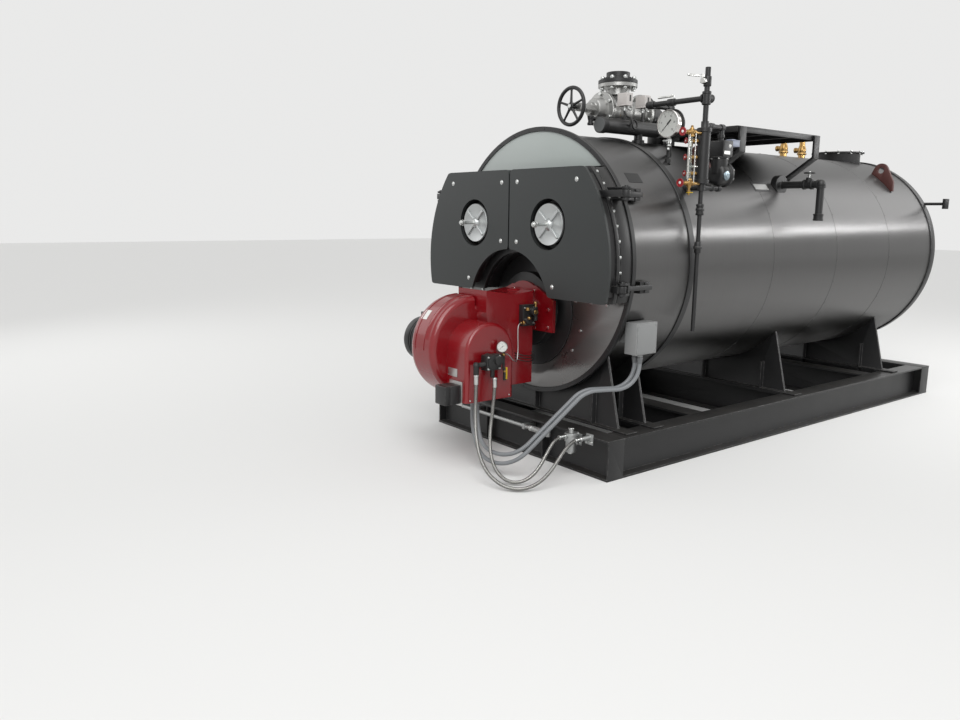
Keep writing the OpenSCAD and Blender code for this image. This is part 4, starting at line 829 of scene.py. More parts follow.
gauge_face = stand(297, -525, -502, (0.766, -0.643, 0))
case = turned([(0, -14), (30, -14), (34, -10), (34, 10), (32, 12), (29, 12), (28, 9), (0, 9)], 40)
polished = bright("polished_case", (0.6, 0.6, 0.58), 0.22)
piece("pump_gauge_case", built((case, gauge_face)), polished)
face, marks = dial(28, (0, 10, 20, 30, 40))
piece("pump_gauge_dial", built((face, shifted(gauge_face, 9))), dial_white)
piece("pump_gauge_marks", built((marks, shifted(gauge_face, 9.4))), black_plastic)


# Ends of the hoses and conduits: zinc-plated steel ferrules, crimped on, with swivel nuts on the hoses, and
# moulded gland nuts of grey plastic on the conduits.
grips = bmesh.new()
for node in ("supply_hose", "return_hose"):
    x, y, z = flexible_routes[node][0]
    add(grips, rod(14.5, 46, 2, 24), stand(x, y, z - 16, down))
    add(grips, hexagon(30, 20), stand(x, y, z + 2, down))
    x, y, z = flexible_routes[node][-1]
    add(grips, rod(14.5, 46, 2, 24), stand(x, y - 16, z, to_front))
    add(grips, hexagon(30, 20), stand(x, y + 2, z, to_front))
piece("hose_ferrules", grips, zinc)
glands = bmesh.new()
grey_moulding = coated("grey_gland_moulding", (0.13, 0.135, 0.14), 0.42, bare=(0.2, 0.2, 0.2), dusty=0.1)
for node in ("left_conduit", "right_conduit"):
    for end, nut_lift, taper_lift in ((0, 20, 4), (-1, -2, -16)):
        x, y, z = flexible_routes[node][end]
        add(glands, hexagon(37, 16), stand(x, y, z + nut_lift, down))
        taper = turned([(0, 0), (18, 0), (18, 10), (15.5, 26), (0, 26)], 24)
        add(glands, taper, stand(x, y, z + taper_lift, down))
piece("conduit_glands", glands, grey_moulding)


# On the skid's front beam: the oil filter and the return union on their brackets, and a galvanised pipe with
# a coupling. The grey terminal box is screwed to the shell's side.
galvanised = coated("galvanised_steel", (0.4, 0.41, 0.405), 0.42, 0.85, bare=(0.6, 0.6, 0.6), wear=0.3,
                    dusty=0.2,
                    scale=45, bump=0.05, uneven=0.14)
grey_enamel = coated("grey_hammer_enamel", (0.23, 0.235, 0.235), 0.4, bare=(0.4, 0.4, 0.4), dusty=0.15,
                     scale=260,
                     bump=0.2)
for node in ("fuel_filter", "hose_union", "front_pipe"):
    piece(node + "_body", from_frame(node, 1.2), galvanised, stands_for=[node])
piece("terminal_box", from_frame("junction_box", 3), grey_enamel, stands_for=["junction_box"])
fixings = bmesh.new()
add(fixings, hexagon(17, 9, 2), stand(622, -176, -1104, to_front), stand(668, -176, -1104, to_front),
    stand(728, -176, -1082, to_front), stand(768, -176, -1082, to_front))
add(fixings, hexagon(34, 12), stand(645, -235, -1012), stand(645, -235, -1155, down))
add(fixings, hexagon(40, 26), stand(230, -190, -1105, to_left), stand(320, -190, -1105, to_right))
piece("beam_fixings", fixings, zinc)
box_y, box_z = 145, -430
screws = [stand(905, box_y + sy * 76, box_z + sz * 81, to_right) for sy in (1, -1) for sz in (1, -1)]
lid = built((slab(176, 186, 5, 2), stand(900, box_y, box_z, to_right)), (dome(5, 3, 14), *screws))
piece("terminal_box_lid", lid, grey_enamel)


# The steam outlet: a nozzle and bend behind an angle valve of cast iron in aluminium paint, with a
# bolted bonnet and a yoke. Its top flange carries a black companion flange on eight studs.
def ball(radius, step, steps):
    """A ball, turned from a half circle with a point every so many degrees."""
    turns = [math.radians(a) for a in range(0, 181, step)]
    return turned([(radius * math.sin(t), -radius * math.cos(t)) for t in turns], steps)


def circled(place, radius, count, high=0.0, first=0.0):
    """Places round a part's own axis, such as those of the bolts in a flange."""
    return [place @ Matrix.Rotation(math.radians(first + 360 * k / count), 4, "Z")
            @ Matrix.Translation((radius / 1000, 0, high / 1000)) for k in range(count)]


silver_iron = coated("aluminium_painted_iron", (0.36, 0.36, 0.35), 0.34, 0.8, bare=(0.2, 0.2, 0.19), wear=0.3,
                     dusty=0.15, scale=150, bump=0.45, depth=0.0014, uneven=0.1)
valve = bmesh.new()
add(valve, ball(127, 9, 64), stand(0, 763, 1060))
add(valve, turned([(0, 0), (84, 0), (84, 118), (92, 125), (138, 125), (140, 127), (140, 148), (138, 150),
                   (0, 150)],
                  64), stand(0, 862, 1060, to_rear))
add(valve, turned([(0, 0), (88, 0), (84, 10), (84, 45), (92, 54), (138, 54), (140, 56), (140, 78), (138, 80),
                   (0, 80)], 64), stand(0, 763, 1170))
add(valve, turned([(0, 0), (105, 0), (105, 70), (109, 78), (123, 80), (125, 82), (125, 94), (122, 95),
                   (122, 97),
                   (125, 98), (125, 110), (123, 112), (90, 112), (82, 116), (78, 124), (74, 182), (68, 190),
                   (46, 190), (42, 194), (42, 228), (40, 230), (0, 230)], 64), stand(0, 703, 1060, to_front))
for x in (-41, 41):
    add(valve, slab(18, 40, 160, 3), stand(x, 363, 1060, to_rear))
add(valve, slab(100, 48, 20, 4), stand(0, 348, 1060, to_rear))
piece("main_valve_casting", valve, silver_iron, stands_for=["main_valve"])
piece("steam_elbow_pipe", from_frame("steam_elbow", 1.5), black_enamel,
      stands_for=["steam_elbow"])
collar = turned([(77.5, 0.2), (138, 0.2), (140, 2), (140, 24), (138, 26), (104, 26), (100, 30), (100, 42),
                 (96, 45),
                 (88, 46), (84, 50), (84, 78), (82, 80), (77.5, 80)], 64, closed=True)
flange = built((collar, stand(0, 763, 1250.3)))
piece("companion_flange", flange, black_enamel, stands_for=["steam_companion"])
nuts = bmesh.new()
add(nuts, hexagon(24, 15), *circled(stand(0, 591, 1060, to_front), 108, 6, 0, 30))
add(nuts, hexagon(24, 10), *circled(stand(0, 623, 1060, to_rear), 108, 6, 0, 30))
add(nuts, hexagon(27, 16), *circled(stand(0, 987, 1060, to_front), 120, 8, 0, 22.5),
    *circled(stand(0, 763, 1224, down), 120, 8, 0, 22.5))
add(nuts, hexagon(27, 17, 2), *circled(stand(0, 763, 1276), 120, 8, 0, 22.5))
add(nuts, rod(9, 28, 2, 16), *circled(stand(0, 763, 1272), 120, 8, 0, 22.5))
piece("valve_nuts", nuts, zinc)


# The main valve's handwheel: an iron casting with a round rim on five tapered spokes. A nut holds its hub on
# the threaded stem.
def hoop(radius, thick, lift, step, steps):
    """A ring of round bar, as in a handwheel's rim, with its middle lifted off the place."""
    turns = [math.radians(a) for a in range(0, 360, step)]
    bar = [(radius + thick * math.cos(t), lift + thick * math.sin(t)) for t in turns]
    return turned(bar, steps, closed=True)


wheel = bmesh.new()
wheel_place = stand(0, 304, 1060, to_front)
add(wheel, hoop(123, 13, 0, 24, 96), wheel_place)
add(wheel, turned([(0, -22), (22, -22), (26, -18), (26, 8), (22, 12), (0, 12)], 40), wheel_place)
spokes = [wheel_place @ Matrix.Rotation(math.radians(90 + 72 * k), 4, "Z") @ Matrix.Rotation(math.pi / 2, 4,
                                                                                             "Y")
          for k in range(5)]
add(wheel, turned([(0, 16), (11, 16), (9, 40), (7.5, 96), (9, 116), (0, 116)], 20), *spokes)
thread = [p for k in range(9) for p in ((13.4, 3.2 * k), (14.8, 3.2 * k + 1.6))]
add(wheel, turned([(0, 0), *thread, (0, 29)], 32), shifted(wheel_place, -43.5))
piece("handwheel", wheel, black_enamel, "wheel", ["valve_wheel"])
piece("handwheel_nut", built((hexagon(26, 9), shifted(wheel_place, 12))), zinc, "wheel")


# The header of the controls: a capped pipe on a nipple, with a small pipe beside it that ends in a tee. Two
# pressure controls stand over it on pigtails, with bright fittings.
header = bmesh.new()
add(header, turned([(0, 0), (50, 0), (55, 4), (55, 43), (53, 45), (51, 47), (50, 50), (50, 590), (44, 595),
                    (0, 595)], 64), stand(190, 390, 930, to_rear))
add(header, turned([(0, 0), (44, 0), (44, 40), (42, 42), (34, 43), (30, 47), (30, 110), (0, 110)], 40),
    stand(190, 790, 808))
add(header, rod(15, 280, 2, 24), stand(120, 360, 975, to_rear))
add(header, rod(15, 60, 2, 24), stand(112, 625, 975, to_right))
add(header, rod(19, 40, 3, 24), stand(120, 606, 975, to_rear))
add(header, turned([(0, 0), (18, 0), (22, 4), (22, 16), (17, 18), (17, 46), (22, 48), (22, 60), (18, 64),
                    (0, 64)],
                   28), stand(120, 376, 930))
add(header, rod(13, 22, 2, 20), stand(190, 637, 974), stand(190, 825, 974))
piece("header_pipe", header, black_enamel, stands_for=["control_header"])
primer = coated("grey_primer", (0.105, 0.11, 0.11), 0.5, bare=(0.2, 0.2, 0.2), wear=0.2, dusty=0.1, scale=300,
                bump=0.2)
cap = turned([(0, 0), (48, 0), (49, 1), (49, 4), (0, 4)], 48)
piece("header_cap_face", built((cap, stand(190, 389, 930, to_rear))), primer)
cases, slots_dark, fittings, pigtails = (bmesh.new() for _ in range(4))
loop = [(190, 637, 1062), (191, 637, 1030), (214, 637, 1002), (253, 635, 985), (270, 631, 965),
        (272, 630, 945),
        (271, 639, 924), (269, 660, 915), (266, 681, 924), (263, 690, 945), (260, 681, 966), (257, 660, 975),
        (254, 641, 966), (250, 634, 948), (243, 632, 936), (228, 632, 930)]
sweep(pigtails, smooth_line([at(*p) for p in loop], 6), 6.5, 12, (0.95, 0.1, 0.3))
sweep(pigtails, [at(190, 825, 992), at(190, 825, 1058)], 7, 12)
for y in (637, 825):
    add(cases, slab(88, 62, 83, 3, 3), stand(190, y, 1074))
    add(cases, slab(90, 64, 7, 1.5), stand(190, y, 1072))
    for k in range(7):
        add(cases, slab(3, 66, 1, 0.3, 1), stand(190 + 11 * (k - 3), y - 31, 1120, to_front))
    add(slots_dark, slab(17, 42, 1.6, 0.5, 1), stand(234, y + 4, 1122, to_right))
    add(fittings, dome(4, 2, 12), stand(234, y - 22, 1146, to_right), stand(234, y + 24, 1084, to_right))
    add(fittings, hexagon(28, 14), stand(190, y, 1057))
    add(fittings, rod(11, 20, 2, 20), stand(190, y, 1040))
    sweep(fittings, smooth_line([at(x, y + run, z) for x, run, z in
                                 ((216, 6, 1073), (216, 6, 1062), (219, 11, 1052), (228, 22, 1047))], 6), 8,
          14)
    add(fittings, hexagon(22, 9), stand(216, y + 6, 1064))
pale_enamel = coated("pale_case_enamel", (0.56, 0.53, 0.51), 0.42, bare=(0.35, 0.33, 0.32), wear=0.2,
                     dusty=0.2,
                     scale=500, bump=0.08)
piece("control_cases", cases, pale_enamel, stands_for=["pressure_controls"])
piece("control_windows", slots_dark, black_plastic)
piece("control_fittings", fittings, zinc)
piece("pigtails", pigtails, black_iron)


# The steam pressure gauge: a steel case with a black back flange on a siphon pipe, a white dial with ticks
# and plain numbers, and a needle at rest on zero. A small cock sits under it.
gauge_x, siphon_y = 520, 725
gauge_front = stand(gauge_x, 750, 933, to_front)
case = turned([(0, 0), (89, 0), (89, 38), (92, 40), (92, 48), (90, 50), (86, 50), (84, 46), (0, 46)], 72)
polished = bright("polished_gauge_case", (0.6, 0.58, 0.56), 0.2)
piece("steam_gauge_case", built((case, gauge_front)), polished, stands_for=["steam_gauge"])
rear = turned([(0, -37), (78, -37), (84, -31), (84, -8), (98, -8), (100, -6), (100, -1), (98, 0.5),
               (0, 0.5)], 72)
piece("gauge_back", built((rear, gauge_front)), black_enamel)
siphon = turned([(0, 0), (20, 0), (20, 30), (17, 33), (11, 35), (11, 172), (0, 172)], 28)
piece("gauge_siphon", built((siphon, stand(gauge_x, siphon_y, 672))), black_iron)
cock = bmesh.new()
add(cock, turned([(0, 0), (13, 0), (17, 4), (17, 30), (13, 34), (0, 34)], 28), stand(gauge_x, siphon_y, 801))
add(cock, hexagon(28, 12), stand(gauge_x, siphon_y, 786), stand(gauge_x, siphon_y, 836))
add(cock, rod(7, 34, 1.5, 16), stand(gauge_x, siphon_y, 818, to_front))
add(cock, slab(44, 12, 5, 2, 2), stand(gauge_x, 690, 820, to_front))
add(cock, rod(9, 44, 2, 16), stand(gauge_x, siphon_y, 768, (0.6, -0.8, 0)))
piece("gauge_cock", cock, zinc)
face, marks = dial(84, (0, 4, 8, 12, 16, 20))
piece("steam_gauge_dial", built((face, shifted(gauge_front, 46))), dial_white)
piece("steam_gauge_marks", built((marks, shifted(gauge_front, 46.5))), black_plastic)


# The water column: a capped steel pipe between its tees. The gauge glass hangs before it between two brass
# cocks with red handwheels, guarded by three bright rods; three try cocks stand out at the side.
def cock_wheel(radius, high):
    """A small handwheel: a rounded rim with lobes, on a thin web."""
    part = turned([(0, high * 0.3), (radius * 0.72, high * 0.3), (radius * 0.78, 0.5), (radius * 0.9, 0),
                   (radius, high * 0.3), (radius, high * 0.7), (radius * 0.9, high),
                   (radius * 0.78, high - 0.5),
                   (radius * 0.72, high * 0.7), (0, high * 0.7)], 40)
    for v in part.verts:
        if v.co.xy.length > radius * 0.00095:
            v.co.xy *= 1 - 0.07 * (0.5 + 0.5 * math.cos(8 * math.atan2(v.co.y, v.co.x)))
    return part


column = bmesh.new()
add(column, turned([(0, 0), (22, 0), (24, 2), (24, 44), (44, 45), (46, 47), (46, 69), (44, 71), (40, 73),
                    (40, 360),
                    (44, 362), (46, 364), (46, 386), (44, 388), (26, 389), (24, 392), (24, 426), (22, 428),
                    (0, 428)], 48), stand(900, 600, 482))
add(column, turned([(0, 0), (18, 0), (18, 36), (20, 38), (20, 56), (18, 58), (0, 58)], 28),
    stand(900, 600, 882, to_rear))
add(column, rod(22, 40, 2, 28), stand(900, 600, 505, to_rear))
piece("column_pipe_body", column, black_enamel, stands_for=["water_column"])
glass_place = {z: stand(900, 515, z, to_front) for z in (835, 527)}
cocks, wheels, hubs, guards, tube = (bmesh.new() for _ in range(5))
for z, place in glass_place.items():
    add(cocks, turned([(0, -52), (12, -52), (12, 6), (16, 8), (16, 22), (12, 25), (12, 54), (15, 57),
                       (15, 68),
                       (11, 71), (11, 86), (8, 89), (6, 90), (6, 124), (0, 124)], 28), place)
    add(cocks, hexagon(31, 12), shifted(place, 1), shifted(place, 58))
    add(cocks, hexagon(25, 10), shifted(place, 78))
    add(cocks, turned([(0, -28), (12, -28), (14, -24), (14, -10), (17, -6), (17, 6), (14, 10), (14, 24),
                       (12, 28),
                       (0, 28)], 28), stand(900, 475, z))
    away = -1 if z > 600 else 1
    add(cocks, hexagon(32, 13), stand(900, 475, z + away * 14, (0, 0, away)))
    add(cocks, rod(30, 6, 1.5, 36), stand(900, 475, z - 3))
    add(wheels, cock_wheel(27, 9), shifted(place, 125))
    add(hubs, dome(9, 4, 20), shifted(place, 131.8))
    for a in (45, 165, 285):
        x, y = 900 + 26 * math.cos(math.radians(a)), 475 + 26 * math.sin(math.radians(a))
        add(cocks, hexagon(11, 5), stand(x, y, z - away * 3, (0, 0, -away)))
        if z > 600:
            add(guards, rod(3.5, 314, 0.8, 14), stand(x, y, 524))
add(cocks, turned([(0, 0), (7, 0), (7, 6), (9, 8), (9, 12), (5, 15), (0, 16)], 20), stand(900, 475, 862))
add(cocks, turned([(0, 0), (8, 0), (8, 14), (11, 16), (11, 30), (7, 33), (7, 46), (0, 46)], 20),
    stand(900, 475, 500, down))
for z in (590, 690, 790):
    place = stand(900, 600, z, (-0.5, -0.866, 0))
    add(cocks, turned([(0, 38), (10, 38), (10, 58), (13, 60), (13, 80), (9, 83), (6, 85), (6, 116),
                       (0, 116)], 24),
        place)
    add(cocks, hexagon(24, 8), shifted(place, 42))
    add(cocks, rod(5, 30, 1, 14), stand(862, 534, z - 6, down))
    add(wheels, cock_wheel(20, 8), shifted(place, 115))
    add(hubs, dome(6, 3, 16), shifted(place, 121))
add(guards, slab(24, 16, 12, 2), stand(915, 490, 622))
add(guards, rod(4, 34, 1, 12), stand(900, 496, 628, (1, 0.2, 0)))
piece("gauge_cocks", cocks, brass_metal, stands_for=["gauge_glass"])
piece("cock_wheels", wheels, coated("wheel_red", (0.27, 0.008, 0.012), 0.36, bare=(0.1, 0.03, 0.03), wear=0.5,
                                    dusty=0.05, scale=500))
piece("cock_wheel_hubs", hubs, white_label)
piece("glass_guards", guards, bright("bright_rod", (0.66, 0.65, 0.62), 0.24))
lever = built((slab(44, 12, 6, 2, 2), stand(912, 470, 466)))
piece("drain_lever_tip", lever, yellow_grip)
clear, n, links, shader = finish("gauge_glass_tube", (0.93, 0.97, 0.95), 0.0, 0.03)
shader.inputs["Transmission Weight"].default_value = 0.95
shader.inputs["IOR"].default_value = 1.2
film, depth = n.new("ShaderNodeTexCoord"), n.new("ShaderNodeTexNoise")
depth.inputs["Scale"].default_value = 60.0
links.new(film.outputs["Object"], depth.inputs["Vector"])
scaled = n.new("ShaderNodeMapRange")
scaled.inputs["To Min"].default_value = 0.02
scaled.inputs["To Max"].default_value = 0.12
links.new(depth.outputs["Fac"], scaled.inputs["Value"])
links.new(scaled.outputs[0], shader.inputs["Roughness"])
add(tube, turned([(6, 0), (8, 0), (8, 268), (6, 268)], 24, closed=True), stand(900, 475, 547))
piece("gauge_glass_tube", tube, clear)


# Pipes of the water column: a riser with a tee, a cross pipe to the shell, and a drain that runs down the side.
# The two ball valves have bright levers.
pipes = bmesh.new()
add(pipes, turned([(0, 0), (17, 0), (17, 98), (24, 99), (28, 102), (28, 114), (25, 117), (25, 163), (28, 166),
                   (28, 178), (24, 181), (17, 182), (17, 208), (22, 210), (24, 213), (24, 267), (22, 270),
                   (17, 272),
                   (17, 323), (15, 325), (0, 325)], 36), stand(900, 600, 910))
add(pipes, turned([(0, 0), (24, 0), (24, 40), (26, 42), (26, 50), (20, 52), (0, 52)], 32),
    stand(900, 600, 1050, to_rear))
add(pipes, hexagon(30, 9), stand(900, 652, 1050, to_rear))
add(pipes, turned([(0, 0), (24, 0), (28, 3), (28, 12), (17, 14), (17, 222), (22, 224), (24, 227), (24, 277),
                   (22, 280), (17, 282), (17, 440), (0, 440)], 32), stand(880, 600, 1050, to_left))
add(pipes, rod(17, 228, 2, 28), stand(440, 602, 1050, to_rear))
add(pipes, turned([(0, 0), (17, 0), (17, 300), (22, 302), (24, 306), (24, 322), (0, 322)], 32),
    stand(440, 830, 728))
add(pipes, rod(24, 34, 3, 28), stand(486, 600, 1050, to_left), stand(440, 646, 1050, to_front),
    stand(440, 784, 1050, to_rear))
for y in (600, 830):
    add(pipes, ball(25, 12, 28), stand(440, y, 1050))
add(pipes, turned([(0, 0), (14, 0), (14, 508), (20, 510), (22, 513), (22, 577), (20, 580), (14, 582),
                   (14, 748),
                   (24, 750), (26, 753), (26, 762), (23, 765), (23, 805), (26, 808), (26, 817), (24, 820),
                   (14, 822),
                   (14, 902), (0, 902)], 32), stand(900, 600, -420))
add(pipes, hexagon(50, 16), stand(900, 600, 358), stand(900, 600, 117))
add(pipes, rod(17, 65, 1, 28), stand(900, 640, 505, to_rear))
add(pipes, ball(24, 12, 28), stand(900, 705, 505))
add(pipes, turned([(0, 0), (17, 0), (17, 180), (22, 183), (22, 210), (0, 210)], 28),
    stand(900, 705, 505, to_left))
piece("column_piping", pipes, black_enamel, stands_for=["column_pipes"])
levers = bmesh.new()
add(levers, hexagon(36, 26), stand(900, 572, 1150, to_front))
add(levers, rod(14, 40, 2, 24), stand(900, 590, 1150, to_front))
add(levers, rod(6, 26, 1, 14), stand(900, 548, 1160))
add(levers, hexagon(13, 7), stand(900, 548, 1184))
add(levers, cut_out([(-9, 14), (9, 14), (9, -20), (6, -40), (9, -60), (9, -138), (0, -146), (-9, -138),
                     (-9, -60),
                     (-6, -40), (-9, -20)], 12, 3), stand(900, 548, 1170, (0, -0.05, 1)))
add(levers, rod(6, 34, 1, 14), stand(630, 600, 1062))
add(levers, hexagon(13, 7), stand(630, 600, 1092))
add(levers, cut_out([(14, 9), (14, -9), (-20, -9), (-40, -6), (-56, -9), (-112, -9), (-120, 0), (-112, 9),
                     (-56, 9),
                     (-40, 6), (-20, 9)], 12, 3), stand(630, 600, 1083))
piece("ball_valve_levers", levers, bright("bright_lever", (0.62, 0.62, 0.6), 0.26))


# The low water control: a cast float bowl with a bolted cover, screwed to the water column by pipe fittings.
# A switch housing stands over it, with a pale box for its leads.
control = bmesh.new()
add(control, turned([(0, 0), (36, 0), (56, 5), (67, 16), (70, 30), (70, 80), (76, 85), (80, 86), (80, 100),
                     (78, 101), (0, 101)], 56), stand(900, 730, 590, to_rear))
add(control, turned([(0, 0), (48, 0), (52, 8), (52, 96), (58, 98), (60, 101), (60, 108), (58, 110),
                     (0, 110)], 48),
    stand(900, 775, 592))
add(control, slab(110, 100, 100, 6, 3), stand(900, 785, 700))
add(control, slab(104, 94, 3, 1), stand(900, 785, 799))
add(control, rod(17, 96, 1, 28), stand(900, 775, 498), stand(900, 775, 796))
add(control, rod(22, 22, 2, 28), stand(900, 775, 520), stand(900, 775, 818))
add(control, rod(17, 122, 1, 28), stand(900, 655, 882, to_rear))
add(control, rod(23, 34, 3, 28), stand(900, 758, 882, to_rear), stand(900, 650, 882, to_rear))
add(control, rod(17, 50, 1, 28), stand(900, 727, 505, to_rear))
add(control, rod(23, 30, 3, 28), stand(900, 760, 505, to_rear))
piece("low_water_body", control, black_enamel, stands_for=["low_water_control"])
trim = bmesh.new()
add(trim, hexagon(17, 9, 2), *circled(stand(900, 831, 590, to_rear), 68, 8, 0, 22.5))
add(trim, hexagon(13, 7), *circled(stand(900, 775, 702, down), 54, 6, 9, 0))
add(trim, dome(13, 4, 24), stand(955, 800, 768, to_right))
add(trim, slab(62, 22, 1.2, 0.4, 1), stand(955, 772, 726, to_right))
piece("low_water_trim", trim, bare_tin)
cover = turned([(0, -20), (30, -20), (30, 3), (27, 6), (16, 7), (14, 10), (0, 10)], 36)
window = built((cover, stand(964, 768, 582, to_right)))
piece("bowl_cover", window, bright("blued_cover", (0.2, 0.25, 0.28), 0.3))
lead_box = built((slab(80, 90, 36, 3, 2), stand(900, 880, 770)),
                 (slab(82, 92, 6, 1.5), stand(900, 880, 806)),
                 (slab(44, 40, 7, 2), stand(900, 884, 811)))
blue_grey = coated("blue_grey_moulding", (0.26, 0.29, 0.37), 0.45, bare=(0.3, 0.3, 0.34), dusty=0.2,
                   scale=500)
piece("lead_box", lead_box, blue_grey)


# The feed connection on the shell's side, of black-painted iron: a welded boss, a stop valve with a small
# handwheel, and an elbow that turns down to an open end.
feed = bmesh.new()
add(feed, turned([(0, 0), (75, 0), (75, 46), (72, 50), (30, 51), (26, 55), (26, 220), (32, 222), (36, 226),
                  (36, 240),
                  (30, 244), (30, 280), (36, 284), (36, 298), (32, 302), (26, 304), (26, 360), (0, 360)], 48),
    stand(640, 1854, 560, to_right))
add(feed, turned([(0, 0), (28, 0), (28, 28), (24, 31), (24, 40), (0, 40)], 32), stand(905, 1854, 560))
add(feed, hexagon(38, 12), stand(905, 1854, 598))
add(feed, ball(34, 12, 32), stand(1000, 1854, 560))
for place in (stand(986, 1854, 560, to_left), stand(1000, 1854, 546, down)):
    add(feed, turned([(0, 0), (30, 0), (34, 3), (34, 12), (26, 14), (0, 14)], 32), place)
add(feed, turned([(20.5, 0), (34, 0), (36, 2), (36, 12), (33, 15), (33, 36), (36, 39), (36, 48), (34, 50),
                  (26, 51),
                  (26, 254), (20.5, 254)], 36, closed=True), stand(1000, 1854, 300))
piece("feed_pipe_body", feed, black_enamel, stands_for=["feed_pipe"])
feed_trim = built((rod(7, 46, 1.5, 20), stand(905, 1854, 606)), (hexagon(14, 7), stand(905, 1854, 647)))
piece("feed_stem", feed_trim, zinc)
feed_wheel = built((hoop(35, 5, 5, 36, 48), stand(905, 1854, 638)),
                   (rod(11, 10, 1.5, 24), stand(905, 1854, 638)),
                   (slab(64, 9, 6, 2), *[stand(905, 1854, 640, spun=a) for a in (20, 80, 140)]))
piece("feed_wheel", feed_wheel, black_iron)


# On top of the shell: two brass safety valves with lifting levers, the stack's bolted collar, four lifting lugs
# in red oxide, and the tread plate platform on its bent arms.
safety = bmesh.new()
for y in (2950, 3250):
    add(safety, turned([(0, 0), (30, 0), (30, 35), (33, 37), (33, 56), (36, 62), (36, 84), (33, 98),
                        (30, 108),
                        (30, 114), (25, 117), (25, 158), (21, 162), (12, 164), (12, 178), (9, 181),
                        (0, 181)], 40),
        stand(0, y, 849))
    add(safety, hexagon(72, 20), stand(0, y, 885))
    add(safety, turned([(0, 0), (20, 0), (20, 50), (24, 52), (24, 70), (17, 71), (15, 60), (0, 58)], 32),
        stand(0, y, 930, to_left))
    add(safety, cut_out([(-8, -6), (8, -6), (8, 60), (4, 70), (-4, 70), (-8, 60)], 4, 1), stand(0, y, 1014))
piece("safety_valve_bodies", safety, brass_metal, stands_for=["safety_valves"])
piece("stack_collar_plate", from_frame("stack_collar", 1.5), black_enamel,
      stands_for=["stack_collar"])
bolts = bmesh.new()
add(bolts, hexagon(19, 10, 2), *circled(stand(0, 3885, 937), 217, 12))
add(bolts, hexagon(19, 10), *circled(stand(0, 3885, 925, down), 217, 12))
piece("stack_bolts", bolts, zinc)
red_oxide = coated("red_oxide_primer", (0.062, 0.017, 0.014), 0.55, bare=(0.1, 0.08, 0.07), wear=0.5,
                   dusty=0.15,
                   scale=180, bump=0.35)
piece("lifting_lug_plates", from_frame("lifting_lugs", 2.0), red_oxide,
      stands_for=["lifting_lugs"])
deck = from_frame("platform_deck", 1.0)
lozenges = [stand(x, y, 929.6, (0, 0, 1), 45 if (x // 40 + y // 40) % 2 else -45)
            for x in range(40, 790, 40) for y in range(1120, 2080, 40) if x > 125 or y > 1365]
add(deck, cut_out([(-13, 0), (0, -4), (13, 0), (0, 4)], 1.6, 0), *lozenges)
piece("platform_tread", deck, black_enamel, stands_for=["platform_deck"])
piece("platform_bars", from_frame("platform_arms", 2.0), black_enamel,
      stands_for=["platform_arms"])


# Two thin plates without marks, rolled to the shell: a black one on the smokebox jacket, and a grey one with a
# black border beside the platform.
def wrapped(radius, y, long, angle, tall, thick):
    """A thin plate rolled onto the shell, at an angle up from its side."""
    part = bmesh.new()
    bmesh.ops.create_grid(part, x_segments=2, y_segments=8, size=0.5)
    for v in part.verts:
        lift = math.radians(angle) + v.co.y * tall / radius
        v.co = at((radius + thick) * math.cos(lift), y + v.co.x * long, (radius + thick) * math.sin(lift))
    bmesh.ops.recalc_face_normals(part, faces=part.faces)
    bmesh.ops.solidify(part, geom=part.faces[:], thickness=thick / 1000)
    return part


plates = bmesh.new()
add(plates, wrapped(862, 230, 127, 40.3, 77, 1.6))
add(plates, wrapped(855, 1620, 200, 39.2, 84, 1.6))
piece("bare_black_plates", plates, black_plastic)
inner = wrapped(856.4, 1620, 164, 39.2, 50, 1.2)
piece("bare_grey_plate", inner, bare_tin)


# A plain pale floor and soft light from large lamps, as in a photographer's studio. The lamps and the world
# light the boiler evenly, and the floor and backdrop stay near white.
floor_shape = bmesh.new()
bmesh.ops.create_grid(floor_shape, x_segments=1, y_segments=1, size=40)
floor_mesh = bpy.data.meshes.new("floor")
floor_shape.to_mesh(floor_mesh)
floor_shape.free()
floor = bpy.data.objects.new("floor", floor_mesh)
scene.collection.objects.link(floor)
floor_mesh.materials.append(finish("pale_floor", (0.78, 0.78, 0.77), 0.0, 0.85)[0])

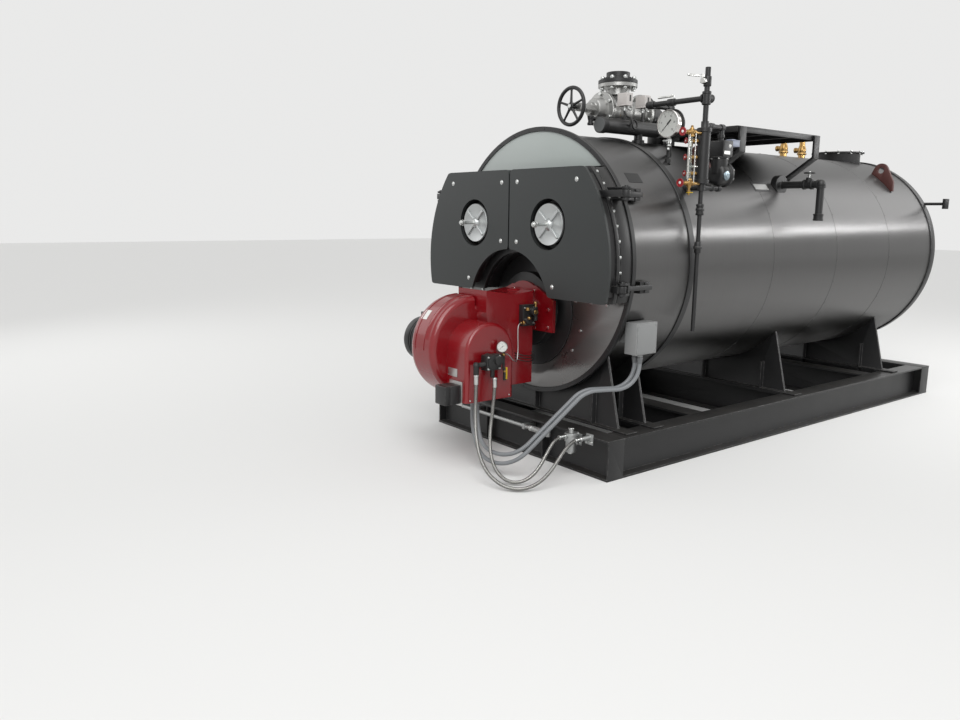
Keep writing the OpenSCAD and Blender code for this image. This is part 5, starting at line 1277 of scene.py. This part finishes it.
world = bpy.data.worlds.new("studio")
scene.world = world
world.use_nodes = True
wn, wl = world.node_tree.nodes, world.node_tree.links
back, seen = wn["Background"], wn.new("ShaderNodeBackground")
mixed, ray = wn.new("ShaderNodeMixShader"), wn.new("ShaderNodeLightPath")
to_eye, shown = wn.new("ShaderNodeMath"), wn.new("ShaderNodeMath")
back.inputs["Color"].default_value = (0.9, 0.9, 0.9, 1)
back.inputs["Strength"].default_value = 0.45
seen.inputs["Color"].default_value = (0.82, 0.82, 0.815, 1)
to_eye.operation = shown.operation = "MAXIMUM"
wl.new(ray.outputs["Is Camera Ray"], to_eye.inputs[0])
wl.new(ray.outputs["Is Glossy Ray"], to_eye.inputs[1])
wl.new(to_eye.outputs[0], shown.inputs[0])
wl.new(ray.outputs["Is Transmission Ray"], shown.inputs[1])
wl.new(shown.outputs[0], mixed.inputs[0])
wl.new(back.outputs[0], mixed.inputs[1])
wl.new(seen.outputs[0], mixed.inputs[2])
wl.new(mixed.outputs[0], wn["World Output"].inputs["Surface"])


def lamp(name, kind, power, aim, spot=(0, 0, 0)):
    """A studio lamp that shines along its aim, with the power of a sun in W/m2 and of others in watts."""
    light = bpy.data.objects.new(name, bpy.data.lights.new(name, kind))
    light.data.energy = power
    light.location = spot
    light.rotation_euler = Vector(aim).to_track_quat("-Z", "Y").to_euler()
    scene.collection.objects.link(light)
    return light


lamp("sky_light", "SUN", 1.7, (-3.0, 3.5, -7.0)).data.angle = math.radians(50)
aimed_at = Vector((0, 0, 1.2))
for name, spot, size, power in (("key", (5.5, -6.5, 5.0), 4, 170), ("fill", (-6.5, -5.0, 4.5), 5, 70),
                                ("rear", (3.0, 6.5, 5.0), 4, 90)):
    lamp(name, "AREA", power, aimed_at - Vector(spot), spot).data.size = size

# A long strip lamp beside the shell draws one narrow line of light along the brushed jackets.
strip = lamp("strip", "AREA", 34, (-1.0, 0.0, -0.3), (2.6, 2.3, 2.42))
strip.data.shape = "RECTANGLE"
strip.data.size, strip.data.size_y = 4.2, 0.1
strip.visible_camera = False
